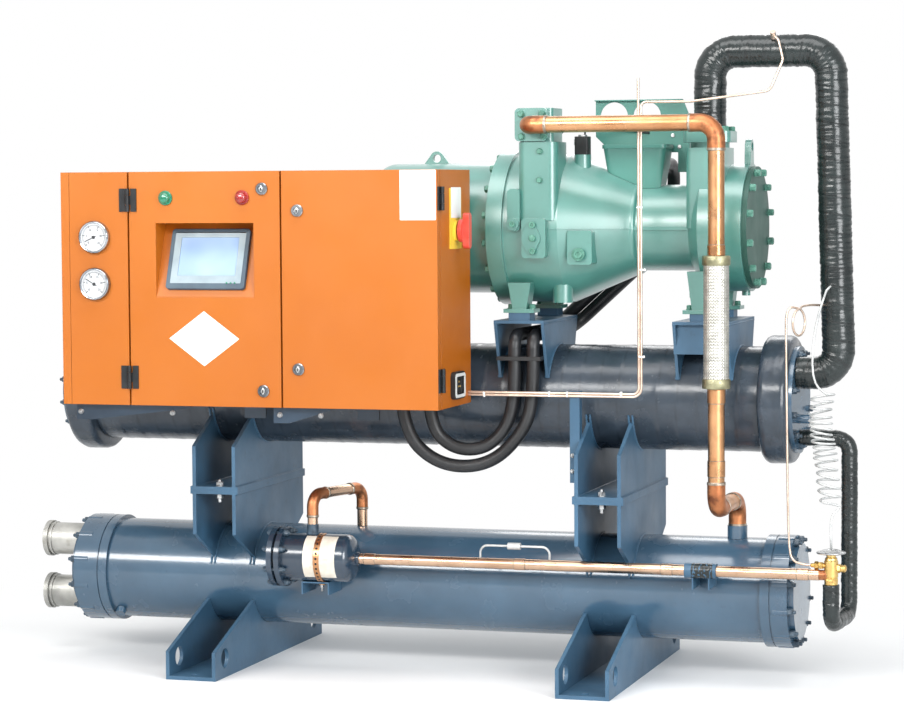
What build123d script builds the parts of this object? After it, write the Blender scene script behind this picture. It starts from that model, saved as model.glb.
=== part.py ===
"""Water-cooled screw chiller: two stacked vessels, a screw compressor and a control cabinet.

Millimetres. The origin is on the floor, midway between the four anchor bolts. X runs along
the vessels, Y points away from the cabinet's doors and Z points up. Heights and reaches are
steps from the piece that carries each part.
"""
import os
from math import atan2, cos, degrees, radians, sin, tan

from build123d import *

# Fits
SEAT = 0.3        # gap left where a piece seats on a curved wall
DOOR_GAP = 5.0    # gap round each door
PIN_PLAY = 0.06   # radial play of a pin or shaft
LAP = 1.0         # how far shapes of one solid run into each other

# Condenser, the lower vessel
cond_r = 136.5
cond_z = 235.0
cond_x0 = -889.0
cond_len = 1819.0
tube_sheet_r = 146.0
tube_sheet_t = 24.0
gasket_t = 3.0
gasket_drop = 3.0
head_left_len = 86.0
head_right_len = 61.0
head_cap_r = 126.0
head_cap_len = 14.0
head_boss_count = 12
head_boss_r = 12.0
head_boss_ring = 136.0
head_boss_len = 40.0
gas_stub_x = 845.0
gas_stub_r = 26.0
gas_stub_h = 32.0
drain_plug_r = 14.0
drain_plug_h = 16.0
drain_plug_x = -868.0
drain_plug_turn = 230.0

# Evaporator, the upper vessel with its wrapped insulation
evap_rise = 500.0
evap_r = 138.0
evap_half = 925.0
evap_flange_r = 168.0
evap_flange_t = 75.0
evap_flange_soften = 14.0
evap_cover_r = 139.0
evap_cover_t = 12.0
nozzle_r = 12.0
nozzle_len = 34.0

# Water stubs for grooved couplings
stub_r = 44.5
stub_bore_r = 39.0
stub_lip_r = 50.0
stub_lip_w = 13.0
stub_ring_w = 6.0
stub_ring_step = 2.5
stub_groove_w = 8.0
cond_stub_len = 125.0
cond_stub_rise = 74.0
cond_port_depth = 30.0
evap_stub_len = 95.0
evap_stub_x = 745.0
evap_stub_floor = 10.0

# Feet
foot_x = 530.0
foot_w = 140.0
foot_half = 410.0
foot_plate_t = 10.0
foot_nose_h = 75.0
foot_top_y = 123.0
foot_top_z = 175.0
lift_hole_r = 26.0
lift_hole_y = 342.0
lift_hole_z = 52.0
anchor_y = 380.0
anchor_r = 11.0

# Saddles between the vessels
saddle_left_x = -519.5
saddle_right_x = 534.0
saddle_w = 135.0
saddle_half = 259.0
saddle_t = 10.0
saddle_inset = 6.0
saddle_rise = 251.0
saddle_shoulder = 118.0
saddle_tip_y = 123.0
saddle_tip_rise = 57.0

# Pedestals under the compressor
pedestal_rise = 207.0
pedestal_t = 8.0
pedestal_half = 173.0
pedestal_tip_y = 127.0
pedestal_tip_rise = 55.0
pedestal_left_x0 = 235.0
pedestal_left_w = 135.0
pedestal_right_x0 = 710.0
pedestal_right_w = 146.0
fascia_front = 156.0
fascia_h = 76.0
spacer_h = 20.0
spacer_w = 57.0
spacer_d = 52.0
cable_rail_rise = 103.0
cable_rail_h = 10.0
cable_rail_y0 = -178.0
cable_rail_d = 58.0

# Compressor
comp_rise = 238.0
sep_r = 172.0
sep_x0 = -132.0
sep_x1 = 222.0
sep_round = 52.0
flange_r = 203.0
flange_t = 43.0
body_r = 195.0
body_x1 = 412.0
waist_r = 112.0
waist_step = 8.0
waist_x0 = 590.0
waist_x1 = 738.0
split_t = 5.0
motor_r = 165.0
motor_x0 = 772.0
motor_x1 = 885.0
cover_r = 158.0
cover_t = 14.0
comp_foot_y = 142.0
comp_foot_d = 48.0
comp_foot_left_w = 34.0
comp_foot_right_w = 44.0
comp_foot_flare = 14.0
comp_pad_t = 10.0
comp_pad_lip = 24.0
comp_pad_side = 6.0
eye_t = 16.0
eye_hole_r = 11.0
eye_root = 8.0
eye_round = 19.0
sep_eye_rise = 14.0
sep_eye_half = 40.0
motor_eye_rise = 44.0
motor_eye_half = 24.0
sep_eye_x = 31.0

# Castings on the rotor housing
neck_x = 360.0
neck_w = 104.0
neck_y0 = -200.0
neck_d = 124.0
neck_rise = 224.0
neck_round = 22.0
pad_x0 = 322.0
pad_w = 64.0
pad_front = 212.0
pad_low = 75.0
pad_h = 103.0
pad_cover_t = 5.0
pad_cover_tip = 12.0
plug_boss_x0 = 438.0
plug_boss_w = 65.0
plug_boss_front = 190.0
plug_boss_low = 92.0
plug_boss_h = 88.0
plug_r = 15.0
plug_t = 9.0
screw_boss_x = 299.0
screw_boss_r = 16.0
screw_boss_front = 215.0
lug_x = 404.0
lug_y = -104.0
lug_r = 26.0
lug_drop = 193.0
ridge_t = 3.0
ridge_out = 2.0
flange_pad_x0 = 282.0
flange_pad_w = 34.0
flange_pad_low = 6.0
flange_pad_h = 110.0
flange_pad_front = 206.0
sensor_x = 447.0
sensor_y = -60.0
sensor_boss_r = 22.0
sensor_boss_rise = 192.0
sensor_w = 37.0
sensor_h = 47.0
motor_plug_x = 868.0
motor_plug_r = 11.0
motor_plug_drop = 176.0

# Terminal box and the plate behind it
term_x0 = 500.0
term_w = 167.0
term_y0 = -62.0
term_d = 102.0
term_low = 56.0
term_taper = 9.0
term_rise = 217.0
term_round = 16.0
term_lid = 10.0
plate_y = 52.0
plate_t = 3.0
plate_rise = 336.0
plate_left = 45.0
plate_right = 23.0
plate_wing = 48.0
plate_wing_low = 145.0
plate_wing_high = 275.0
plate_left_shoulder = 43.0
plate_hole_r = 37.0
plate_hole_drop = 43.0
plate_hole_step = 89.0
plate_hole_in = 50.0
plate_lip = 14.0

# Discharge and suction valves
valve_x = 348.0
valve_w = 87.0
valve_h = 88.0
valve_t = 14.0
valve_round = 12.0
valve_drop = 3.0
suct_x = 785.0
suct_y = -56.0
suct_w = 100.0
suct_d = 150.0
suct_rise = 206.0
suct_round = 18.0
suct_neck_r = 50.0
suct_neck_h = 14.0
suct_flange_w = 124.0
suct_flange_d = 112.0
suct_flange_t = 28.0

# Pipes
hot_r = 21.0
hot_y = -256.0
hot_rise = 267.0
hot_x = 842.0
hot_bend = 44.0
hot_drop = 237.0
hose_r = 33.0
hose_len = 336.0
hose_rise = 299.0
hose_collar_r = 36.0
hose_collar_h = 26.0
suction_r = 43.0
suction_rise = 452.0
suction_leg_gap = 108.0
suction_leg_lean = 24.0
suction_out_rise = 73.0
suction_bend = 66.0
suction_low_bend = 60.0
feed_r = 22.0
feed_drop = 97.0
feed_gap = 129.0
feed_y = -18.0
feed_under = 126.0
feed_bend = 34.0
feed_low_bend = 40.0
line_r = 14.0
line_clear = 75.5
line_rise = 75.0
line_bend = 34.0

# Expansion valve
txv_gap = 114.0
txv_body_r = 18.0
txv_low = 24.0
txv_high = 44.0
txv_port_r = 15.0
txv_port_reach = 30.0
txv_cap_reach = 40.0
txv_cap_r = 9.0
txv_cap_rise = 18.0
txv_neck_h = 8.0
txv_neck_r = 12.0
txv_head_r = 37.0
txv_head_h = 16.0
txv_rim_h = 5.0

# Filter drier
drier_x0 = -362.0
drier_len = 202.0
drier_r = 63.0
drier_flange_r = 79.5
drier_flange_t = 14.0
drier_gasket_t = 7.0
drier_dish = 30.0
drier_nozzle = 5.0
drier_nozzle_wall = 4.0
drier_in_reach = 105.0
drier_cond_reach = 171.0
drier_loop_rise = 167.0
drier_shelf_x = -245.0
drier_shelf_w = 78.0
drier_shelf_h = 34.0
drier_shelf_t = 4.0

# Brackets
clamp_x = 793.0
clamp_w = 82.0
clamp_t = 5.0
clamp_leg_w = 46.0
rail_w = 26.0
rail_t = 4.0
rail_low = 210.0
rail_len = 237.0
cab_bracket_w = 60.0
cab_bracket_t = 8.0
cab_bracket_left = -430.0
cab_bracket_right = -110.0
cab_bracket_low = 60.0
cab_bracket_h = 499.0
cab_bracket_arm = 60.0
cab_web_back = 34.0
cab_web_t = 5.0
cab_web_high = 42.0
cab_web_low = 8.0
cab_web_flange = 44.0
cab_web_spans = ((24.0, 322.0), (577.0, 155.0))

# Control cabinet
cab_x0 = -857.0
cab_w = 1031.0
cab_yf = -464.0
cab_d = 284.0
cab_drop = 7.0
cab_h = 606.0
sheet = 3.0
door_depth = 22.0
frame_w = 26.0
post_w = 23.0
gauge_bay_w = 190.5
hmi_bay_w = 421.5
recess_in = 76.5
recess_w = 271.0
recess_rise = 281.0
recess_h = 192.0
recess_d = 70.0
recess_sill = 5.0
recess_brow = 8.0
hmi_w = 218.0
hmi_h = 164.0
hmi_t = 12.0
gauge_in = 96.0
gauge_low_rise = 315.0
gauge_high_rise = 437.0
gauge_r = 43.0
gauge_t = 14.0
gauge_back_r = 31.0
gauge_back_t = 30.0
lamp_rise = 538.0
lamp_green_in = 105.5
lamp_red_in = 317.5
lamp_r = 19.0
lamp_t = 18.0
lock_r = 16.0
lock_t = 8.0
lock_left_in = 50.0
lock_right_in = 46.0
hmi_lock_rises = (42.0, 560.0)
power_lock_rises = (99.0, 504.0)
hinge_rises = (73.0, 533.0)
hinge_h = 60.0
hinge_r = 6.0
hinge_pin_r = 2.5
hinge_leaf_t = 3.0
hinge_leaf_w = 16.0
hinge_play = 1.0

# Main switch and service socket on the cabinet's right side
switch_in = 151.0
switch_rise = 450.0
switch_plate_w = 94.0
switch_plate_low = 46.0
switch_plate_h = 155.0
switch_plate_t = 3.0
switch_collar_r = 26.0
switch_collar_t = 7.0
switch_shaft_r = 6.0
switch_disc_r = 30.0
switch_disc_t = 10.0
switch_grip_t = 16.0
switch_grip_w = 26.0
switch_grip_half = 46.0
socket_w = 92.0
socket_h = 70.0
socket_rise = 19.0
socket_t = 12.0
socket_round = 14.0

# Switchgear inside the cabinet
gear_plate_t = 3.0
gear_plate_off = 10.0
gear_plate_edge = 34.0
gear_plate_low = 62.0
gear_stud_r = 6.0
gear_duct_w = 40.0
gear_duct_d = 60.0
gear_row_rises = (160.0, 330.0, 470.0)
gear_row_h = 84.0
gear_row_d = 74.0
gear_block_w = 54.0
gear_block_step = 66.0
gear_block_count = 6
gear_row_x0 = -560.0
main_terminal_w = 150.0
main_terminal_h = 62.0
main_terminal_x = 36.0

# Small tubes
gauge_tube_r = 3.2
gauge_tube_y = -205.0
gauge_tube_rise = 15.0
gauge_tube_x = 637.0
gauge_tube_len = 806.0
gauge_tube_step = 7.0
gauge_tube_short = 40.0
gauge_tube_bend = 24.0
service_in = 171.0
service_r = 7.0
service_len = 24.0
equalizer_r = 3.0
capillary_r = 2.5
capillary_coil_r = 29.0
equalizer_tap = 24.0
equalizer_gap = 28.0
equalizer_lean = 4.0
equalizer_y = -150.0
equalizer_top = 249.0
equalizer_drop = 54.0
capillary_coil_in = 24.0
capillary_coil_y = -181.0
capillary_coil_drop = 260.0
capillary_coil_h = 295.0
capillary_lead_low = 50.0
capillary_lead_high = 10.0
capillary_top = 286.0
capillary_top_drop = 41.0
bypass_r = 3.0
bypass_body_r = 9.0
bypass_x0 = 207.0
bypass_w = 187.0
bypass_rise = 47.0
bypass_body_x = 299.0
bypass_body_w = 34.0

# Power cables
cable_r = 17.0
gland_r = 26.0
gland_h = 12.0
cable_start_rise = 45.0
cable_start_z = cond_z + evap_rise + cable_start_rise
rail_end_z = cond_z + evap_rise + cable_rail_rise - SEAT
cable_a = [
    (0, -232, cable_start_z), (0, -232, 656), (94, -214, 562), (226, -190, 562),
    (318, -174, 654), (338, -162, 744), (338, -162, rail_end_z),
]
cable_b = [
    (72, -222, cable_start_z), (72, -222, 668), (134, -206, 606), (214, -186, 606),
    (270, -168, 664), (288, -162, 748), (288, -162, rail_end_z),
]
motor_cable_bend = 60.0
motor_cable_back = 215.0
motor_cable_turn_x = 345.0
motor_cable_entry_x = 632.0
motor_cable_step = 52.0

# Places that follow from the sizes
cond_x1 = cond_x0 + cond_len
cond_end_left = cond_x0 - tube_sheet_t - head_left_len
cond_end_right = cond_x1 + tube_sheet_t + head_right_len
cond_mid = cond_x0 + cond_len / 2
saddle_z = cond_z + saddle_rise
evap_z = cond_z + evap_rise
evap_end = evap_half + evap_flange_t
cover_face = evap_end + evap_cover_t
pedestal_top_z = evap_z + pedestal_rise
spacer_top = pedestal_top_z + spacer_h
comp_z = pedestal_top_z + comp_rise
foot_left_x = pedestal_left_x0 + pedestal_left_w / 2
foot_right_x = pedestal_right_x0 + pedestal_right_w / 2
neck_top = comp_z + neck_rise
term_x1 = term_x0 + term_w
term_y1 = term_y0 + term_d
term_top = comp_z + term_rise
suct_top = comp_z + suct_rise
hot_z = comp_z + hot_rise
hose_bottom = evap_z + evap_r - 95.0
hose_top = hose_bottom + hose_len
hot_low_z = cond_z + hot_drop
suction_top_z = comp_z + suction_rise
suction_leg_x = cover_face + suction_leg_gap
suction_leg_top_x = suction_leg_x - suction_leg_lean
suction_out_z = evap_z + suction_out_rise
feed_x = cover_face + feed_gap
feed_z = evap_z - feed_drop
line_y = -(cond_r + line_clear)
line_z = cond_z + line_rise
feed_low_z = line_z - feed_under
txv_x = cover_face + txv_gap
capillary_coil_x = txv_x - capillary_coil_in
capillary_coil_z0 = evap_z - capillary_coil_drop
equalizer_x = cover_face + equalizer_gap
drier_x1 = drier_x0 + drier_len
drier_in_x = drier_x0 + drier_in_reach
drier_cond_x = drier_x0 + drier_cond_reach
drier_loop_z = line_z + drier_loop_rise
cab_x1 = cab_x0 + cab_w
cab_yb = cab_yf + cab_d
cab_z0 = evap_z - cab_drop
cab_z1 = cab_z0 + cab_h
case_yf = cab_yf + door_depth + DOOR_GAP
seam_gauge = cab_x0 + gauge_bay_w
seam_doors = seam_gauge + hmi_bay_w
recess_x0 = seam_gauge + recess_in
recess_x1 = recess_x0 + recess_w
recess_z0 = cab_z0 + recess_rise
recess_z1 = recess_z0 + recess_h
gauge_x = cab_x0 + gauge_in
switch_y = cab_yf + switch_in
switch_z = cab_z0 + switch_rise
gauge_tube_z = evap_z + gauge_tube_rise
valve_face_y = neck_y0 + 6.0 - valve_t


def barrel(x0, x1, y, z, r, mode=Mode.ADD):
    """Cylinder along X."""
    with Locations(((x0 + x1) / 2, y, z)):
        Cylinder(r, x1 - x0, rotation=(0, 90, 0), mode=mode)


def post(x, y, z0, z1, r, mode=Mode.ADD):
    """Cylinder along Z."""
    with Locations((x, y, (z0 + z1) / 2)):
        Cylinder(r, z1 - z0, mode=mode)


def spigot(x, y0, y1, z, r, mode=Mode.ADD):
    """Cylinder along Y."""
    with Locations((x, (y0 + y1) / 2, z)):
        Cylinder(r, y1 - y0, rotation=(90, 0, 0), mode=mode)


def block(x0, x1, y0, y1, z0, z1, mode=Mode.ADD):
    """Box between two corners."""
    with Locations(((x0 + x1) / 2, (y0 + y1) / 2, (z0 + z1) / 2)):
        Box(x1 - x0, y1 - y0, z1 - z0, mode=mode)


def side_plate(x0, x1, points, mode=Mode.ADD):
    """Plate square to X with the outline given as (y, z) points."""
    with BuildSketch(Plane.YZ.offset(x0)) as outline:
        with BuildLine():
            Polyline(*points, close=True)
        make_face()
    extrude(to_extrude=outline.sketch, amount=x1 - x0, mode=mode)


def column(x0, x1, y0, y1, z0, z1, r):
    """Upright block with rounded corners."""
    with BuildSketch(Plane.XY.offset(z0)) as outline:
        with Locations(((x0 + x1) / 2, (y0 + y1) / 2)):
            RectangleRounded(x1 - x0, y1 - y0, r)
    extrude(to_extrude=outline.sketch, amount=z1 - z0)


def front_pad(x0, x1, z0, z1, y_front, y_back, r):
    """Block with rounded corners that faces the front."""
    with BuildSketch(Plane.XZ.offset(-y_back)) as outline:
        with Locations(((x0 + x1) / 2, (z0 + z1) / 2)):
            RectangleRounded(x1 - x0, z1 - z0, r)
    extrude(to_extrude=outline.sketch, amount=y_back - y_front)


def turned(points, y, z, mode=Mode.ADD):
    """Body turned round an axis along X, from its (x, radius) points."""
    with BuildSketch(Plane.XZ.offset(-y)) as profile:
        with BuildLine():
            Polyline((points[0][0], z), *[(x, z + r) for x, r in points], (points[-1][0], z),
                     close=True)
        make_face()
    revolve(profiles=profile.sketch, axis=Axis((0, y, z), (1, 0, 0)), mode=mode)


def pipe(points, radii, r, mode=Mode.ADD):
    """Round bar along straight runs joined by tangent arcs."""
    with BuildLine() as route:
        if len(points) == 2:
            Line(*points)
        else:
            FilletPolyline(*points, radius=radii)
    with BuildSketch(Plane(origin=route.line @ 0, z_dir=route.line % 0)) as section:
        Circle(r)
    sweep(sections=section.sketch, path=route.line, mode=mode)


def ring_points(count, r, z, start=0.0):
    """Points of a circle round a vessel axis, as (y, z)."""
    step = 360.0 / count
    return [
        (r * cos(radians(start + step * i)), z + r * sin(radians(start + step * i)))
        for i in range(count)
    ]


def condenser_head(sheet_x, end_x):
    """Tube sheet, gasket and cast head with its bolt bosses, from the tube's end outwards."""
    out = 1 if end_x > sheet_x else -1
    joint_x = sheet_x + out * tube_sheet_t
    gasket_x = joint_x + out * gasket_t
    step_x = end_x - out * head_cap_len
    turned([(sheet_x, tube_sheet_r), (joint_x, tube_sheet_r),
            (joint_x, tube_sheet_r - gasket_drop), (gasket_x, tube_sheet_r - gasket_drop),
            (gasket_x, tube_sheet_r), (step_x, tube_sheet_r), (step_x, head_cap_r),
            (end_x, head_cap_r)], 0, cond_z)
    boss_x = step_x - out * head_boss_len
    for y, z in ring_points(head_boss_count, head_boss_ring, cond_z, 15):
        barrel(min(step_x, boss_x), max(step_x, boss_x), y, z, head_boss_r)


# Condenser
with BuildPart() as condenser_shell:
    barrel(cond_x0, cond_x1, 0, cond_z, cond_r)

with BuildPart() as condenser_head_left:
    condenser_head(cond_x0, cond_end_left)
    for side in (1, -1):
        barrel(cond_end_left, cond_end_left + cond_port_depth, 0,
               cond_z + side * cond_stub_rise, stub_bore_r, mode=Mode.SUBTRACT)

with BuildPart() as condenser_head_right:
    condenser_head(cond_x1, cond_end_right)


def water_stub(length, bore):
    """Grooved pipe end along +Z from the current location, open over the stated bore."""
    with Locations((0, 0, length / 2)):
        Cylinder(stub_r, length)
    with Locations((0, 0, length - stub_lip_w / 2)):
        Cylinder(stub_lip_r, stub_lip_w)
    with Locations((0, 0, length - stub_lip_w - stub_groove_w)):
        Cylinder(stub_r + stub_ring_step, stub_ring_w)
    with Locations((0, 0, length - bore / 2)):
        Cylinder(stub_bore_r, bore, mode=Mode.SUBTRACT)


with BuildPart() as condenser_water_stubs:
    for side in (1, -1):
        with Locations(Location((cond_end_left, 0, cond_z + side * cond_stub_rise), (0, -90, 0))):
            water_stub(cond_stub_len, cond_stub_len)

with BuildPart() as condenser_fittings:
    crown_z = cond_z + cond_r
    post(gas_stub_x, 0, crown_z - 2 * LAP, crown_z + gas_stub_h, gas_stub_r)
    turn = radians(drain_plug_turn)
    reach = cond_r + (drain_plug_h - 4 * LAP) / 2
    plug_at = (drain_plug_x, reach * cos(turn), cond_z + reach * sin(turn))
    with Locations(Location(plug_at, (90 + drain_plug_turn, 0, 0))):
        Cylinder(drain_plug_r, drain_plug_h + 4 * LAP)
    barrel(cond_x0, cond_x1, 0, cond_z, cond_r + SEAT, mode=Mode.SUBTRACT)

# Evaporator
with BuildPart() as evaporator_shell:
    barrel(-evap_half, evap_half, 0, evap_z, evap_r)

with BuildPart() as evaporator_flanges:
    for side in (-1, 1):
        inner = side * evap_half
        outer = side * evap_end
        soft = side * evap_flange_soften
        turned([(inner, evap_flange_r - evap_flange_soften), (inner + soft, evap_flange_r),
                (outer - soft, evap_flange_r), (outer, evap_flange_r - evap_flange_soften)],
               0, evap_z)

with BuildPart() as evaporator_covers:
    barrel(evap_end, cover_face, 0, evap_z, evap_cover_r)
    barrel(-cover_face, -evap_end, 0, evap_z, evap_cover_r)
    barrel(cover_face - LAP, cover_face + nozzle_len, suct_y, feed_z + 52.0, nozzle_r)

with BuildPart() as evaporator_water_stubs:
    for x in (-evap_stub_x, evap_stub_x):
        with Locations(Location((x, evap_r - evap_stub_floor, evap_z), (-90, 0, 0))):
            water_stub(evap_stub_len + evap_stub_floor, evap_stub_len - evap_stub_floor)
    barrel(-evap_half, evap_half, 0, evap_z, evap_r + SEAT, mode=Mode.SUBTRACT)

# Feet
with BuildPart() as feet:
    for x in (-foot_x, foot_x):
        block(x - foot_w / 2, x + foot_w / 2, -foot_half, foot_half, 0, foot_plate_t)
        for y in (-anchor_y, anchor_y):
            post(x, y, -LAP, foot_plate_t + LAP, anchor_r, mode=Mode.SUBTRACT)

foot_outline = [
    (-foot_half, foot_plate_t), (-foot_half, foot_nose_h), (-foot_top_y, foot_top_z),
    (foot_top_y, foot_top_z), (foot_half, foot_nose_h), (foot_half, foot_plate_t),
]
with BuildPart() as foot_side_plates:
    for x in (-foot_x, foot_x):
        for start in (x - foot_w / 2, x + foot_w / 2 - foot_plate_t):
            side_plate(start, start + foot_plate_t, foot_outline)
    for y in (-lift_hole_y, lift_hole_y):
        barrel(-foot_x - foot_w, foot_x + foot_w, y, lift_hole_z, lift_hole_r,
               mode=Mode.SUBTRACT)
    barrel(cond_x0, cond_x1, 0, cond_z, cond_r + SEAT, mode=Mode.SUBTRACT)


# Saddles
def saddle(x, side, vessel_z, vessel_r):
    """Flange plate with two plates that reach up or down to a vessel."""
    x0 = x - saddle_w / 2
    x1 = x + saddle_w / 2
    face = saddle_z + side * saddle_t
    shoulder = saddle_z + side * saddle_shoulder
    tip = vessel_z - side * saddle_tip_rise
    block(x0, x1, -saddle_half, saddle_half, min(saddle_z, face), max(saddle_z, face))
    outline = [
        (-saddle_half, face), (-saddle_half, shoulder), (-saddle_tip_y, tip),
        (saddle_tip_y, tip), (saddle_half, shoulder), (saddle_half, face),
    ]
    for start in (x0 + saddle_inset, x1 - saddle_inset - saddle_t):
        side_plate(start, start + saddle_t, outline)
    barrel(x0 - LAP, x1 + LAP, 0, vessel_z, vessel_r + SEAT, mode=Mode.SUBTRACT)


with BuildPart() as lower_saddles:
    for x in (saddle_left_x, saddle_right_x):
        saddle(x, -1, cond_z, cond_r)

with BuildPart() as upper_saddles:
    for x in (saddle_left_x, saddle_right_x):
        saddle(x, 1, evap_z, evap_r)


# Pedestals
def pedestal(x0, width):
    """Top plate with spacers on two side plates that stand on the evaporator."""
    top = pedestal_top_z - pedestal_t
    tip = evap_z + pedestal_tip_rise
    block(x0, x0 + width, -pedestal_half, pedestal_half, top, pedestal_top_z)
    outline = [
        (-pedestal_half, top), (-pedestal_tip_y, tip), (pedestal_tip_y, tip),
        (pedestal_half, top),
    ]
    for start in (x0, x0 + width - pedestal_t):
        side_plate(start, start + pedestal_t, outline)
    middle = x0 + width / 2
    for y in (-comp_foot_y, comp_foot_y):
        block(middle - spacer_w / 2, middle + spacer_w / 2, y - spacer_d / 2,
              y + spacer_d / 2, pedestal_top_z, spacer_top)


with BuildPart() as pedestals:
    pedestal(pedestal_left_x0, pedestal_left_w)
    pedestal(pedestal_right_x0, pedestal_right_w)
    block(pedestal_right_x0, pedestal_right_x0 + pedestal_right_w, -fascia_front,
          pedestal_t - fascia_front, pedestal_top_z - pedestal_t - fascia_h,
          pedestal_top_z - pedestal_t)
    barrel(-evap_half, evap_half, 0, evap_z, evap_r + SEAT, mode=Mode.SUBTRACT)

with BuildPart() as cable_rail:
    cable_rail_z = evap_z + cable_rail_rise
    block(pedestal_left_x0 + pedestal_t + SEAT, pedestal_left_x0 + pedestal_left_w
          - pedestal_t - SEAT, cable_rail_y0, cable_rail_y0 + cable_rail_d, cable_rail_z,
          cable_rail_z + cable_rail_h)


# Compressor
def comp_foot(x, width, top):
    """Cast feet that widen upwards from their pads, in front and behind."""
    pad_half = width / 2 + comp_pad_lip
    for side in (-1, 1):
        y = side * comp_foot_y
        half_d = comp_foot_d / 2
        block(x - pad_half, x + pad_half, y - half_d - comp_pad_side,
              y + half_d + comp_pad_side, spacer_top, spacer_top + comp_pad_t)
        with BuildSketch(Plane.XZ.offset(half_d - y)) as leg:
            with BuildLine():
                Polyline((x - width / 2, spacer_top), (x + width / 2, spacer_top),
                         (x + width / 2 + comp_foot_flare, top),
                         (x - width / 2 - comp_foot_flare, top), close=True)
            make_face()
        extrude(to_extrude=leg.sketch, amount=-comp_foot_d)


with BuildPart() as oil_separator:
    barrel(sep_x0, sep_x1, 0, comp_z, sep_r)
    fillet(oil_separator.faces().sort_by(Axis.X)[0].edges(), radius=sep_round)

with BuildPart() as rotor_housing:
    barrel(sep_x1, sep_x1 + flange_t, 0, comp_z, flange_r)
    turned([(sep_x1 + flange_t - LAP, body_r), (body_x1, body_r),
            (waist_x0, waist_r + waist_step)], 0, comp_z)
    column(neck_x - neck_w / 2, neck_x + neck_w / 2, neck_y0, neck_y0 + neck_d,
           comp_z + neck_round, neck_top, neck_round)
    front_pad(pad_x0, pad_x0 + pad_w, comp_z - pad_low, comp_z - pad_low + pad_h,
              -pad_front, -body_r / 2, 10)
    with BuildSketch(Plane.XZ.offset(pad_front)) as oval:
        with Locations((pad_x0 + pad_w / 2 - 6, comp_z - pad_low + pad_h / 2)):
            Circle(25)
            with Locations((0, 30), (0, -30)):
                Circle(pad_cover_tip)
        make_hull()
    extrude(to_extrude=oval.sketch, amount=pad_cover_t)
    front_pad(plug_boss_x0, plug_boss_x0 + plug_boss_w, comp_z - plug_boss_low,
              comp_z - plug_boss_low + plug_boss_h, -plug_boss_front, -body_r / 2, 8)
    spigot(plug_boss_x0 + 25, -plug_boss_front - plug_t, -plug_boss_front,
           comp_z - plug_boss_low + 24, plug_r)
    spigot(screw_boss_x, -screw_boss_front, -body_r / 2, comp_z + 13, screw_boss_r)
    post(lug_x, lug_y, comp_z - lug_drop, comp_z - body_r / 2, lug_r)
    front_pad(flange_pad_x0, flange_pad_x0 + flange_pad_w, comp_z - flange_pad_low,
              comp_z - flange_pad_low + flange_pad_h, -flange_pad_front, -body_r / 2, 12)
    with BuildSketch(Plane.XY.offset(comp_z - ridge_t / 2)) as ridge:
        with BuildLine():
            Polyline((body_x1 - 60, body_r + ridge_out), (body_x1, body_r + ridge_out),
                     (waist_x0, waist_r + waist_step + ridge_out),
                     (waist_x0, -waist_r - waist_step - ridge_out),
                     (body_x1, -body_r - ridge_out), (body_x1 - 60, -body_r - ridge_out),
                     close=True)
        make_face()
    extrude(to_extrude=ridge.sketch, amount=ridge_t)
    post(sensor_x, sensor_y, comp_z, comp_z + sensor_boss_rise, sensor_boss_r)
    comp_foot(foot_left_x, comp_foot_left_w, comp_z - 140)

with BuildPart() as motor_housing:
    turned([(waist_x0, waist_r), (waist_x1, waist_r), (motor_x0, motor_r),
            (motor_x1, motor_r)], 0, comp_z)
    block(waist_x0, waist_x1 + 20, -waist_r - split_t, waist_r + split_t, comp_z - split_t,
          comp_z + split_t)
    column(suct_x - suct_w / 2, suct_x + suct_w / 2, suct_y - suct_d / 2,
           suct_y + suct_d / 2, comp_z, suct_top, suct_round)
    post(motor_plug_x, 0, comp_z - motor_plug_drop, comp_z, motor_plug_r)
    comp_foot(foot_right_x, comp_foot_right_w, comp_z - 110)

with BuildPart() as motor_end_cover:
    barrel(motor_x1, motor_x1 + cover_t, 0, comp_z, cover_r)

with BuildPart() as lifting_eyes:
    for plane, middle, base_z, rise, half in (
        (Plane.XZ.offset(-eye_t / 2), sep_eye_x, comp_z + sep_r, sep_eye_rise, sep_eye_half),
        (Plane.YZ.offset(motor_x1 - eye_t - LAP), 0, comp_z + motor_r, motor_eye_rise,
         motor_eye_half),
    ):
        with BuildSketch(plane) as eye:
            with Locations((middle, base_z + rise)):
                Circle(eye_round)
            with Locations((middle, base_z - eye_root)):
                Rectangle(2 * half, LAP)
            make_hull()
            with Locations((middle, base_z + rise)):
                Circle(eye_hole_r, mode=Mode.SUBTRACT)
        extrude(to_extrude=eye.sketch, amount=eye_t)
    barrel(sep_x0, sep_x1, 0, comp_z, sep_r + SEAT, mode=Mode.SUBTRACT)
    barrel(motor_x0, motor_x1, 0, comp_z, motor_r + SEAT, mode=Mode.SUBTRACT)

with BuildPart() as terminal_box:
    with BuildSketch(Plane.XY.offset(term_top - term_lid)) as tub:
        with Locations(((term_x0 + term_x1) / 2, (term_y0 + term_y1) / 2)):
            RectangleRounded(term_w, term_d, term_round)
    extrude(to_extrude=tub.sketch, amount=comp_z + waist_r - term_low - term_top + term_lid,
            taper=term_taper)
    column(term_x0 - 3, term_x1 + 3, term_y0 - 3, term_y1 + 3, term_top - term_lid, term_top,
           term_round)
    for step in (0, 1):
        spigot(motor_cable_entry_x - motor_cable_step * step, term_y1 - gland_h,
               term_y1 + gland_h, term_top - 50, gland_r - 2)
    turned([(body_x1, body_r + SEAT), (waist_x0, waist_r + waist_step + SEAT),
            (waist_x0, waist_r + SEAT), (waist_x1, waist_r + SEAT)], 0, comp_z,
           mode=Mode.SUBTRACT)

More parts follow.
